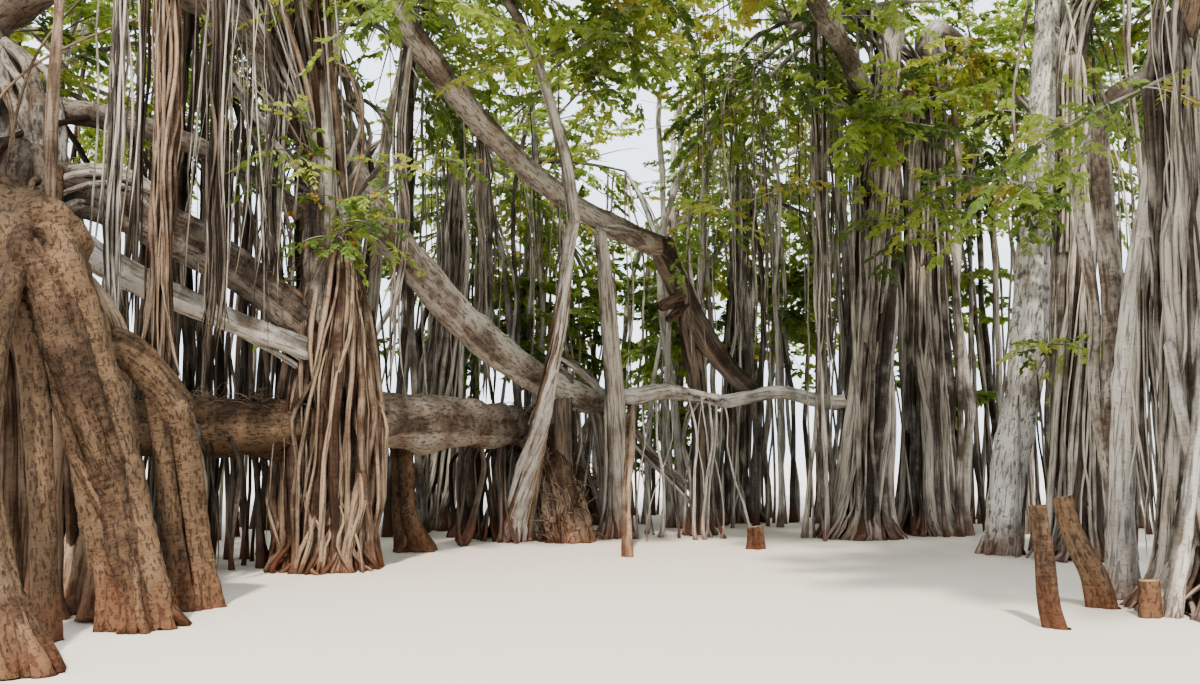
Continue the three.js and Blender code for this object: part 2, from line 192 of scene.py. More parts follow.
def makeBark(name, look):
    finish = Finish(name)
    grain, tone, hollowShade = finish.carried("grain", 1), finish.carried("tone"), finish.carried("hollowShade")
    place, deep, stretch, streakScale = finish.place(), look["deep"], look["stretch"], barkShared["streakScale"]
    streaks = finish.noise(finish.scaled(grain, (1, 1, stretch)), streakScale, 5.0, 0.62)
    cracks = finish.noise(finish.scaled(grain, (1, 1, stretch * 0.5)), streakScale * 2.1, 3.0, 0.5)
    wrinkles = finish.noise(finish.scaled(grain, (0.22, 0.22, 1)), barkShared["wrinkleScale"], 3.0, 0.6)
    sunPatches = finish.noise(place, 1.7, 5.0, 0.6)
    warmth = finish.noise(place, 0.8, 3.0, 0.5)
    speckles = finish.noise(place, 34.0, 3.0, 0.6)
    pitSpots = finish.noise(finish.scaled(grain, (0.5, 0.5, 1.5)), barkShared["pitScale"], 2.5, 0.5)
    pitDepth = finish.ramp(pitSpots, 0.60, 0.68)
    crackDepth = 1 - finish.ramp(cracks, 0.36, 0.47)
    body = finish.ramp(streaks * 0.6 + wrinkles * look["wrinkles"] + tone * 0.5, 0.44, 0.98)
    mid = finish.mixed(finish.ramp(warmth, 0.42, 0.66) * 0.45, look["mid"], barkShared["warm"])
    colour = finish.mixed(body, deep, mid)
    # painted sunlight: dappled patches, fixed in space, lighten the bark towards its sunlit colour
    lit = finish.ramp(sunPatches + tone * 0.4, 0.52, 0.84) * look["sunPatches"]
    colour = finish.mixed(lit + finish.ramp(speckles, 0.55, 0.8) * 0.12, colour, look["sunlitAndFlecks"])
    colour = finish.mixed(crackDepth * 0.6, colour, deep)
    colour = finish.mixed(pitDepth * look["pits"], colour, deep)
    if look["blotches"]:  # dark rings and spots on the smooth trunk
        spots = finish.noise(finish.scaled(grain, (1, 1, 0.8)), 7.0, 4.0, 0.62)
        colour = finish.mixed(finish.ramp(spots, 0.56, 0.64) * look["blotches"], colour, deep)
    height = finish.add("ShaderNodeSeparateXYZ", {}, {0: place}, take=2)
    near = 1 - finish.ramp(height + sunPatches * 0.8 + streaks * 0.5 - 0.62, 0.0, barkShared["stainTop"])
    colour = finish.mixed(near * look["stain"], colour, barkShared["earth"])
    # painted shade: knot holes and splits are darkened to near-black
    colour = finish.mixed(hollowShade, colour, barkShared["hollowShade"])
    relief = streaks * 0.5 + wrinkles * look["wrinkles"] - pitDepth * look["pits"] * 0.6 \
        - crackDepth * 0.4 + speckles * 0.12
    return finish.done(colour, 0.97 - streaks * 0.14, relief, barkShared["relief"], barkShared["reliefDepth"], 0.25)


barks = {name: makeBark(name, look) for name, look in barkLooks.items()}
print("bark finishes made:", len(barks))

# Floor and light: a plain pale floor, a pale sky all round, and one broad soft sun from high on the left
setting = {"floor": (0.74, 0.65, 0.56), "floorSize": 260, "sky": (0.82, 0.91, 1.0), "skyPower": 2.3,
           "sunPower": 4.6, "sunColour": (1.0, 0.95, 0.86), "sunSoftness": 3.0, "sunTurn": (38, -22, 20),
           "look": "AgX - Medium High Contrast"}
scene.view_settings.look = setting["look"]
bpy.ops.mesh.primitive_plane_add(size=setting["floorSize"], location=(7, 3, 0))
floor = bpy.context.object
floor.name = "floor"
floorFinish = Finish("floorFinish")
floorGrain = floorFinish.noise(floorFinish.place(), 0.8, 6.0)
floorColour = floorFinish.mixed(floorGrain, tuple(part * 0.96 for part in setting["floor"]), setting["floor"])
floor.data.materials.append(floorFinish.done(floorColour, 0.95))
bpy.ops.object.transform_apply(location=True, rotation=True, scale=True)

world = bpy.data.worlds.new("paleSky")
scene.world = world
world.use_nodes = True
world.node_tree.nodes["Background"].inputs["Color"].default_value = setting["sky"] + (1,)
world.node_tree.nodes["Background"].inputs["Strength"].default_value = setting["skyPower"]
bpy.ops.object.light_add(type="SUN", rotation=[math.radians(turn) for turn in setting["sunTurn"]])
sun = bpy.context.object
sun.name = "softSun"
sun.data.energy = setting["sunPower"]
sun.data.angle = math.radians(setting["sunSoftness"])
sun.data.color = setting["sunColour"]
print("camera, floor and light set")


# Smooth numbers between -1 and 1 at places whose three parts are arrays or single numbers
def noiseAt(seed, *parts):
    places = np.stack(np.broadcast_arrays(*parts), axis=-1)
    cell = np.floor(places).astype(np.int64)
    part = places - cell
    part = part * part * (3 - 2 * part)
    total = np.zeros(places.shape[:-1])
    for corner in np.ndindex(2, 2, 2):
        x, y, z = (cell[..., axis] + corner[axis] for axis in range(3))
        mixed = (x * 374761393 + y * 668265263 + z * 1442695041 + seed * 1274126177) & 0xFFFFFFFF
        mixed = ((mixed ^ (mixed >> 13)) * 1103515245) & 0xFFFFFFFF
        mixed = ((mixed ^ (mixed >> 16)) * 1597334677) & 0xFFFFFFFF
        weight = np.ones(total.shape)
        for axis in range(3):
            weight = weight * (part[..., axis] if corner[axis] else 1 - part[..., axis])
        total += weight * (mixed / 0x7FFFFFFF - 1)
    return total


def unit(vectors):
    return vectors / np.maximum(np.linalg.norm(vectors, axis=-1, keepdims=True), 1e-9)


# Directions along and across every line of a bundle (lines x points x 3), turned as little as possible
def framesAlong(lines):
    along = unit(np.gradient(lines, axis=-2))
    helper = np.where(np.abs(along[..., :1, 2:]) < 0.9, (0.0, 0.0, 1.0), (1.0, 0.0, 0.0))  # x where a line is steep
    across = np.empty_like(lines)
    across[..., 0, :] = unit(np.cross(helper[..., 0, :], along[..., 0, :]))
    for i in range(1, lines.shape[-2]):
        before = across[..., i - 1, :]
        ahead = along[..., i, :]
        across[..., i, :] = unit(before - ahead * (before * ahead).sum(-1, keepdims=True))
    return along, across, np.cross(along, across)


def frameOf(line):
    return (part[0] for part in framesAlong(line[None]))


# Places that go round a line, at an angle and a distance for each of its points
def around(line, across, over, angle, away):
    angle, away = angle[..., None], away[..., None]
    return line + np.cos(angle) * across * away + np.sin(angle) * over * away


def turned(angle, away, height=0.0):
    return np.array([math.cos(angle) * away, math.sin(angle) * away, height])


# Rows of three numbers, read between their steps; the steps are even if none are given
def readAt(rows, wanted, steps=None):
    steps = np.linspace(0, 1, len(rows)) if steps is None else steps
    return np.stack([np.interp(wanted, steps, rows[:, axis]) for axis in range(3)], axis=-1)


def stretches(line):
    return np.linalg.norm(np.diff(line, axis=0), axis=1)


def reachedAlong(line):
    return np.concatenate([[0], np.cumsum(stretches(line))])


def evenly(line, count):
    reached = reachedAlong(line)
    return readAt(line, np.linspace(0, reached[-1], count), reached)


# A smooth line through a few given places, evenly spaced
def lineThrough(places, count):
    places = np.asarray(places, float)
    ghost = np.vstack([2 * places[0] - places[1], places, 2 * places[-1] - places[-2]])
    step = np.linspace(0, 1, 24, endpoint=False)[:, None]
    runs = []
    for i in range(1, len(ghost) - 2):
        a, b, c, d = ghost[i - 1:i + 3]
        runs.append(0.5 * (2 * b + (c - a) * step + (2 * a - 5 * b + 4 * c - d) * step ** 2
                           + (3 * b - a - 3 * c + d) * step ** 3))
    return evenly(np.vstack(runs + [places[-1:]]), count)


def setAttribute(mesh, name, kind, values):
    attribute = mesh.attributes.new(name, kind, "POINT")
    attribute.data.foreach_set("vector" if kind == "FLOAT_VECTOR" else "value",
                               np.ascontiguousarray(values, np.float32).ravel())


def meshFromArrays(name, points, faces, material, slot, smooth=True):
    mesh = bpy.data.meshes.new(name)
    mesh.vertices.add(len(points))
    mesh.vertices.foreach_set("co", np.ascontiguousarray(points, np.float32).ravel())
    corners = np.concatenate([part.ravel() for part in faces])
    sizes = np.concatenate([np.full(len(part), part.shape[1]) for part in faces])
    mesh.loops.add(len(corners))
    mesh.loops.foreach_set("vertex_index", corners.astype(np.int32))
    mesh.polygons.add(len(sizes))
    mesh.polygons.foreach_set("loop_start", np.concatenate([[0], np.cumsum(sizes)[:-1]]).astype(np.int32))
    mesh.polygons.foreach_set("use_smooth", np.full(len(sizes), smooth))
    mesh.update(calc_edges=True)
    piece = bpy.data.objects.new(name, mesh)
    scene.collection.objects.link(piece)
    mesh.materials.append(material)
    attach(piece, "root")
    return piece


tubeShape = {"knobs": 0.12, "pace": 0.45}


# Round closed tubes round many lines at once, one piece for all of them. Each tube draws its tone between two
# numbers, or all take one
def tubePiece(name, lines, radii, sides, barkName, draw, seed, tones=(0.0, 1.0)):
    lines, radii = np.asarray(lines, float), np.asarray(radii, float)
    many, steps, _ = lines.shape
    _, across, over = framesAlong(lines)
    angles = np.linspace(0, 2 * math.pi, sides, endpoint=False)
    shift = np.arange(many)[:, None, None]
    knobs = 1 + tubeShape["knobs"] * noiseAt(
        seed, np.cos(angles) * 1.3, np.sin(angles) * 1.3 + shift * 7.3, np.arange(steps)[:, None] * tubeShape["pace"])
    wide = radii[:, :, None] * knobs
    rings = (lines[:, :, None] + (wide * np.cos(angles))[..., None] * across[:, :, None]
             + (wide * np.sin(angles))[..., None] * over[:, :, None])
    walked = np.cumsum(np.linalg.norm(np.diff(lines, axis=1, prepend=lines[:, :1]), axis=2), axis=1)
    shift = shift[:, :, 0] * 3.7  # so that no two tubes carry the same grain
    grain = np.stack([np.cos(angles) * radii[..., None], np.sin(angles) * radii[..., None],
                      np.broadcast_to((walked + shift)[..., None], wide.shape)], axis=-1)
    points = np.concatenate([rings.reshape(many, -1, 3), lines[:, :1], lines[:, -1:]], axis=1)
    points[..., 2] = np.maximum(points[..., 2], 0.0)
    ends = np.stack([np.zeros((many, 2)), np.zeros((many, 2)), walked[:, [0, -1]] + shift], axis=-1)
    grain = np.concatenate([grain.reshape(many, -1, 3), ends], axis=1)
    ring = np.arange(sides)
    after = (ring + 1) % sides
    row = (np.arange(steps - 1) * sides)[:, None]
    quads = np.stack([row + ring, row + after, row + sides + after, row + sides + ring], axis=-1).reshape(-1, 4)
    last = (steps - 1) * sides
    caps = np.concatenate([np.stack([after, ring, np.full(sides, steps * sides)], axis=-1),
                           np.stack([last + ring, last + after, np.full(sides, steps * sides + 1)], axis=-1)])
    start = (np.arange(many) * (steps * sides + 2))[:, None, None]
    faces = [(quads + start).reshape(-1, 4), (caps + start).reshape(-1, 3)]
    piece = meshFromArrays(name, points.reshape(-1, 3), faces, barks[barkName], barkLooks[barkName]["slot"])
    tones = draw.uniform(*tones, many) if draw else np.full(many, tones)
    setAttribute(piece.data, "grain", "FLOAT_VECTOR", grain.reshape(-1, 3))
    setAttribute(piece.data, "tone", "FLOAT", np.repeat(tones, steps * sides + 2))


# The limbs, with the source's own places and radii; a start of two numbers stands on the ground.
# ropes: fused roots that show in the outline. strands: separate roots wound on the outside. ribs and lumpy: how
# strong the relief is. fine: how close its grid is. run and back: how far a limb goes on past its end and start.
sunk = 0.15
footHeight = 0.45
manyStrands = 12  # a limb with more than these is mostly hidden by them
limbDefaults = dict(flare=0.0, lift=0.0, bow=0.0, turns=0.0, strands=0, strandSize=0.05, crossing=0.0, wander=0.03,
                    cut=False, core=0.8, fine=1.0, slimFoot=1.0, profile=((0, 1), (20, 1)), lumpy=1.0,
                    run=0.6, back=0.6, strandBark=None, through=None, waves=None)
nearEye = dict(fine=1.7, slimFoot=0.3)
sawn = dict(cut=True, fine=2.4, ribs=1.3, lumpy=2.2)


def limbOf(start, end, thick, thin, bark, ropes, ropeSize, **more):
    limb = {**limbDefaults, "ribs": 0.95 if bark in ("barkBough", "barkShaded") else 1.6, **more,
            "start": start if len(start) == 3 else (*start, -sunk), "end": end, "thick": thick, "thin": thin,
            "bark": bark, "ropes": ropes, "ropeSize": ropeSize}
    if limb["strands"] > manyStrands:
        limb["fine"] = 0.65
    return limb


limbs = {
    "main_trunk": limbOf((0, 0), (0.2, -0.3, 5.0), 1.0, 0.62, "barkBrown", 13, 0.3, flare=0.4, turns=0.12, strands=44,
        strandSize=0.1, strandBark="barkPitted"),
    "woven_pillar": limbOf((3.45, 1.95), (3.6, 1.45, 4.9), 0.68, 0.42, "barkBrown", 9, 0.34, flare=0.16, turns=0.04,
        strands=92, crossing=0.11, core=0.5, profile=((0, 0.66), (0.9, 1.06), (2.2, 1.22), (3.5, 0.92), (4.3, 0.66),
        (4.9, 0.4))),
    "right_pillar_near": limbOf((11.95, 7.2), (12.7, 7.0, 9.2), 0.46, 0.27, "barkGrey", 10, 0.3, flare=0.22,
        turns=0.25, strands=46, strandSize=0.07, crossing=0.12, core=0.62),
    "right_pillar_far": limbOf((13.45, 8.2), (13.8, 7.9, 8.6), 0.48, 0.26, "barkGrey", 10, 0.3, flare=0.22,
        turns=-0.2, strands=46, strandSize=0.07, crossing=0.1, core=0.62),
    "edge_pillar": limbOf((13.5, -2.0), (13.5, -1.9, 6.2), 0.56, 0.4, "barkGrey", 10, 0.32, flare=0.16, turns=0.2,
        strands=62, strandSize=0.06, crossing=0.2, core=0.66),
    "rear_pillar_left": limbOf((3.7, 9.3), (4.1, 9.9, 7.0), 0.4, 0.22, "barkGrey", 8, 0.34, flare=0.16, turns=0.2,
        strands=22, core=0.7),
    "rear_pillar_right": limbOf((10.2, 11.4), (10.5, 12.0, 6.6), 0.4, 0.22, "barkGrey", 8, 0.34, flare=0.16,
        turns=-0.2, strands=22, core=0.7),
    "smooth_trunk": limbOf((13.37, 3.95), (14.6, 4.1, 9.0), 0.27, 0.21, "barkSmooth", 4, 0.75, flare=0.05, lift=-0.1,
        bow=0.15),
    "side_pillar": limbOf((14.25, 3.2), (14.45, 3.1, 7.6), 0.36, 0.2, "barkGrey", 8, 0.34, flare=0.14, turns=0.3,
        strands=38, strandSize=0.045, crossing=0.15, core=0.62),
    "knee_bough": limbOf((0.1, -0.5, 4.2), (1.95, -3.05, 3.45), 0.44, 0.37, "barkPitted", 4, 0.7, lift=0.25,
        **nearEye),
    "knee_leg": limbOf((3.13, -3.05), (1.98, -3.1, 3.5), 0.25, 0.36, "barkPitted", 5, 0.6, flare=0.16, bow=0.12,
        wander=0.05, **nearEye),
    "arch_root": limbOf((1.9, -2.7, 2.2), (2.93, -2.0, 1.95), 0.17, 0.17, "barkPitted", 3, 0.7, lift=0.55, **nearEye),
    "arch_leg": limbOf((3.17, -1.75), (2.9, -2.02, 2.05), 0.15, 0.17, "barkPitted", 4, 0.62, flare=0.06, bow=0.08,
        **nearEye),
    "inner_leg": limbOf((2.2, -1.8), (1.35, -2.35, 3.9), 0.13, 0.12, "barkPitted", 4, 0.62, flare=0.07, bow=0.15,
        **nearEye),
    "edge_leg": limbOf((3.13, -5.1), (1.9, -3.2, 3.4), 0.15, 0.14, "barkPitted", 4, 0.62, flare=0.1, bow=-0.35,
        **nearEye),
    "low_bough_near": limbOf((0.5, -0.5, 1.9), (3.2, 1.5, 1.9), 0.36, 0.34, "barkPitted", 5, 0.6, bow=-0.2, fine=1.4,
        ribs=1.1, lumpy=1.8),
    "low_bough_far": limbOf((3.6, 1.9, 1.95), (6.2, 9.6, 1.85), 0.4, 0.34, "barkShaded", 6, 0.55, lift=0.12, bow=0.35,
        ribs=1.1, lumpy=2.2),
    "low_bough_heel": limbOf((6.95, 11.0), (6.1, 9.5, 1.9), 0.42, 0.32, "barkBrown", 8, 0.4, flare=0.1, lift=0.35),
    "bough_leg_near": limbOf((4.3, 4.45), (4.0, 3.9, 2.0), 0.15, 0.15, "barkPitted", 5, 0.55, flare=0.12, fine=1.8,
        lumpy=1.8, waves=(0, ((0, 0), (0.35, -0.05), (0.7, 0.05), (1, 0)))),
    "bough_leg_far": limbOf((4.75, 7.3), (4.85, 6.6, 1.95), 0.2, 0.2, "barkDark", 6, 0.5, flare=0.12),
    "leader": limbOf((0.1, 0.0, 4.8), (-1.3, 0.7, 8.8), 0.44, 0.24, "barkBough", 5, 0.6, bow=-0.15),
    "centre_bough_rise": limbOf((-0.75, 0.35, 7.1), (2.8, 1.0, 7.0), 0.32, 0.3, "barkShaded", 5, 0.6, lift=0.75,
        bow=0.3),
    "centre_bough_fall": limbOf((2.75, 0.98, 7.0), (7.25, 7.6, 2.5), 0.3, 0.25, "barkBough", 5, 0.6, lift=-1.05),
    "left_bough_upper": limbOf((0.0, -0.3, 4.9), (3.1, 1.3, 3.4), 0.3, 0.22, "barkShaded", 4, 0.66, lift=0.3, bow=0.1,
        run=3.4),
    "left_bough_thin": limbOf((-0.3, 0.1, 5.9), (2.6, 3.2, 5.2), 0.17, 0.11, "barkShaded", 3, 0.7, lift=0.25,
        bow=0.5),
    "left_prop": limbOf((2.75, 3.9), (2.5, 3.5, 7.6), 0.19, 0.1, "barkDark", 6, 0.5, flare=0.12, strands=7,
        strandSize=0.04),
    "thick_prop": limbOf((6.5, 6.6), (6.45, 6.45, 2.9), 0.24, 0.24, "barkDark", 6, 0.5, flare=0.1, strands=6),
    "leaning_stem_foot": limbOf((5.62, 6.4), (6.78, 4.0, 5.3), 0.19, 0.14, "barkPale", 4, 0.62, flare=0.1, bow=-0.1,
        turns=0.6, strands=11, strandSize=0.055, crossing=0.22, profile=((0, 1.0), (1.6, 0.95), (3.0, 0.72),
        (4.0, 0.66), (20, 0.66)), ribs=2.0, lumpy=1.6, strandBark="barkBrown"),
    "leaning_stem_top": limbOf((6.77, 4.02, 5.25), (6.0, 3.0, 8.1), 0.14, 0.08, "barkPale", 3, 0.7, bow=0.2,
        profile=((0, 0.8), (20, 0.8)), through=((6.77, 4.02, 5.25), (6.67, 3.8, 6.11), (6.48, 3.6, 6.83),
        (6.25, 3.3, 7.49), (6.0, 3.0, 8.1))),
    "woven_stem": limbOf((3.45, 1.2, 4.7), (3.6, 0.55, 9.1), 0.19, 0.15, "barkGrey", 3, 0.72, back=8.0),
    "crooked_bough": limbOf((3.6, 0.6, 8.9), (8.35, 7.0, 5.4), 0.18, 0.19, "barkBough", 3, 0.7, lift=-0.6, bow=-0.5,
        wander=0.05),
    "grey_prop": limbOf((7.5, 7.1), (7.2, 5.8, 5.5), 0.2, 0.16, "barkGrey", 5, 0.55, flare=0.12, bow=-0.1, strands=12,
        crossing=0.08, profile=((0, 1.0), (2.0, 0.85), (3.5, 0.7), (20, 0.65))),
    "level_bough": limbOf((7.35, 6.5, 2.55), (12.0, 7.25, 2.5), 0.15, 0.15, "barkPale", 3, 0.72, lift=0.12, bow=-0.3,
        fine=1.6, profile=((0, 0.82), (20, 0.82)), ribs=1.1, lumpy=1.8, waves=(2, ((0, 0), (0.12, -0.02),
        (0.22, 0.05), (0.32, 0.04), (0.42, -0.11), (0.51, -0.1), (0.62, 0.05), (0.7, 0.07), (0.8, 0), (0.9, -0.04),
        (1, 0)))),
    "crooked_drop": limbOf((8.3, 6.95, 5.45), (10.1, 7.55, 2.75), 0.2, 0.16, "barkDark", 3, 0.7, lift=-0.45,
        wander=0.04),
    "drop_prop": limbOf((9.1, 7.95), (8.95, 7.4, 3.5), 0.17, 0.14, "barkDark", 5, 0.55, flare=0.1, bow=-0.1,
        strands=6, strandSize=0.04),
    "thin_root": limbOf((7.6, 3.5), (7.8, 7.0, 2.5), 0.08, 0.1, "barkBrown", 3, 0.66, flare=0.06, lift=0.3,
        profile=((0, 0.8), (20, 0.8)), lumpy=1.8),
    "right_arch_root": limbOf((12.9, -0.95), (13.4, -1.7, 5.4), 0.14, 0.12, "barkPale", 3, 0.7, flare=0.06, lift=0.5,
        bow=0.2),
    "stump_tall": limbOf((11.35, -3.05), (11.2, -3.0, 1.1), 0.09, 0.09, "barkPitted", 3, 0.7, waves=(0, ((0, 0),
        (0.3, -0.05), (0.6, -0.03), (1, 0.02))), **sawn),
    "stump_leaning": limbOf((12.37, -1.75), (12.0, -1.7, 1.12), 0.13, 0.1, "barkPitted", 3, 0.7, waves=(0, ((0, 0),
        (0.35, 0.02), (0.7, -0.03), (1, 0))), **sawn),
    "stump_short": limbOf((12.5, -2.4), (12.5, -2.4, 0.35), 0.11, 0.1, "barkPitted", 4, 0.7, **sawn),
    "left_bough": limbOf((-0.2, -0.2, 4.4), (-4.6, -0.6, 7.8), 0.36, 0.18, "barkBough", 4, 0.66, lift=0.5),
    "back_bough": limbOf((-0.1, 0.2, 4.6), (-2.4, 5.4, 7.6), 0.34, 0.17, "barkBough", 4, 0.66, lift=0.5),
    "front_bough": limbOf((0.0, -0.6, 4.5), (-1.6, -5.6, 7.2), 0.32, 0.17, "barkBough", 4, 0.66, lift=0.5),
    "over_bough": limbOf((12.5, 7.05, 7.6), (9.9, 2.4, 9.0), 0.22, 0.14, "barkBough", 4, 0.66, lift=0.3),
    "edge_bough": limbOf((13.5, -1.9, 5.9), (12.9, -4.2, 8.0), 0.26, 0.16, "barkBrown", 4, 0.66, lift=0.2),
    "outer_bough": limbOf((13.6, -1.9, 5.8), (17.0, -2.4, 7.6), 0.26, 0.16, "barkBough", 4, 0.66, lift=0.3),
}


curveSteps = 201


# The middle line of a limb, as the source bends it, at even steps
def limbLine(limb, count):
    if limb["through"]:
        return lineThrough(limb["through"], count)
    start, end = np.array(limb["start"], float), np.array(limb["end"], float)
    sideways = np.array([end[1] - start[1], start[0] - end[0], 0.0])
    if np.linalg.norm(sideways) > 0.001:
        sideways = sideways / np.linalg.norm(sideways)
    control = (start + end) / 2 + sideways * 2 * limb["bow"]
    control[2] += 2 * limb["lift"]
    t = np.linspace(0, 1, curveSteps)
    reached = reachedAlong(bent(start, control, end, t[:, None]))
    line = bent(start, control, end, np.interp(np.linspace(0, 1, count) * reached[-1], reached, t)[:, None])
    if limb["waves"]:  # small bends that the source leaves out: share of the way, how far along an axis
        axis, bends = limb["waves"]
        soft = lineThrough([(share, value, 0) for share, value in bends], 61)[:, 1]
        line[:, axis] += np.interp(np.linspace(0, 1, count), np.linspace(0, 1, 61), soft)
    return line


def bent(start, control, end, t):
    return (1 - t) ** 2 * start + 2 * t * (1 - t) * control + t ** 2 * end


def footFlare(limb, height):
    return np.exp(-np.maximum(height, 0) / footHeight)


def taperOf(limb, share):
    return limb["thick"] + (limb["thin"] - limb["thick"]) * share


# A limb's line with the source's radius at each place
def lineAndRadius(limb, count):
    line = limbLine(limb, count)
    radius = taperOf(limb, np.linspace(0, 1, count)) + limb["flare"] * footFlare(limb, line[:, 2])
    return np.column_stack([line, radius])


# The radius that shows, which may swell or shrink on the way up
def shownRadius(limb, share, height):
    flare = limb["flare"] * limb["slimFoot"] * footFlare(limb, height)
    return (taperOf(limb, share) + flare) * np.interp(height, *zip(*limb["profile"]))


# Outline of fused ropes: the farthest of several round roots whose places drift along the limb
def ropeOutline(angles, walked, limb, seed):
    ropes, size = limb["ropes"], limb["ropeSize"]
    outline = np.full(angles.shape, 0.74)
    shade = np.full(angles.shape, 0.15)
    for k in range(ropes):
        drift = noiseAt(seed, walked * 0.45, k * 5.1, seed * 1.7)
        swell = noiseAt(seed + 3, walked * 0.8, k * 3.3, 9.5)
        rope = size * (1 + 0.28 * swell)
        away = (1.02 - size) * (1 + 0.10 * noiseAt(seed, walked * 0.6, k * 8.9, 2.5))
        gap = angles - (2 * math.pi * k / ropes + drift * 2.2 / ropes)
        inside = rope ** 2 - (away * np.sin(gap)) ** 2
        reach = np.where((inside > 0) & (np.cos(gap) > 0),
                         away * np.cos(gap) + np.sqrt(np.maximum(inside, 0)), 0)
        shade = np.where(reach > outline, (k * 0.618 + seed * 0.37) % 1, shade)
        outline = np.maximum(outline, reach)
    return outline, shade


reliefSetup = {"steps": 160, "cell": 0.05, "ring": 0.075, "lumps": 0.11, "clouds": ((0.34, 0.2), (0.10, 0.09)),
               "collar": 0.25, "collarLength": 0.45, "knotEvery": 1.1, "knotSize": 0.55, "knotRise": 0.22,
               "rear": 5, "rearFine": 0.85, "sidesBetween": (20, 96), "ringsBetween": (14, 120),
               "footRibs": 0.7, "footHeight": 0.25, "seam": 0.0004}
# Each hollow is dented into the limb and painted near-black there as shade
hollows = (  # knot holes and splits: place, size, how deep
    ((2.2, -3.46, 3.52), 0.13, 0.8), ((8.9, 6.86, 2.67), 0.09, 0.6), ((9.05, 6.88, 2.61), 0.12, 0.7),
    ((9.2, 6.91, 2.56), 0.13, 0.8), ((9.35, 6.94, 2.54), 0.12, 0.7), ((9.5, 6.97, 2.55), 0.09, 0.6),
    ((8.22, 6.66, 4.14), 0.10, 0.3), ((1.2, -2.2, 4.35), 0.10, 0.3),
)
clouds = []
for size, strength in reliefSetup["clouds"]:
    cloud = bpy.data.textures.new("barkClouds", "CLOUDS")
    cloud.noise_scale = size
    clouds.append((cloud, strength))

# Sawn ends: pale wood with rings
cutFinish = Finish("woodCut")
cutGrain = cutFinish.noise(cutFinish.place(), 30.0, 4.0)
cutColour = cutFinish.mixed(cutGrain, (0.20, 0.12, 0.07), (0.52, 0.40, 0.27))
cutWood = cutFinish.done(cutColour, 0.9, cutGrain, 0.5, 0.01)


def inRear(limb):  # farther from the photograph's viewpoint, where a wider grid is enough
    return limb["start"][1] > reliefSetup["rear"]


def readPoints(mesh):
    flat = np.zeros(len(mesh.vertices) * 3)
    mesh.vertices.foreach_get("co", flat)
    return flat.reshape(-1, 3)


def setPoints(mesh, points):
    points[:, 2] = np.maximum(points[:, 2], 0)
    mesh.vertices.foreach_set("co", points.ravel())


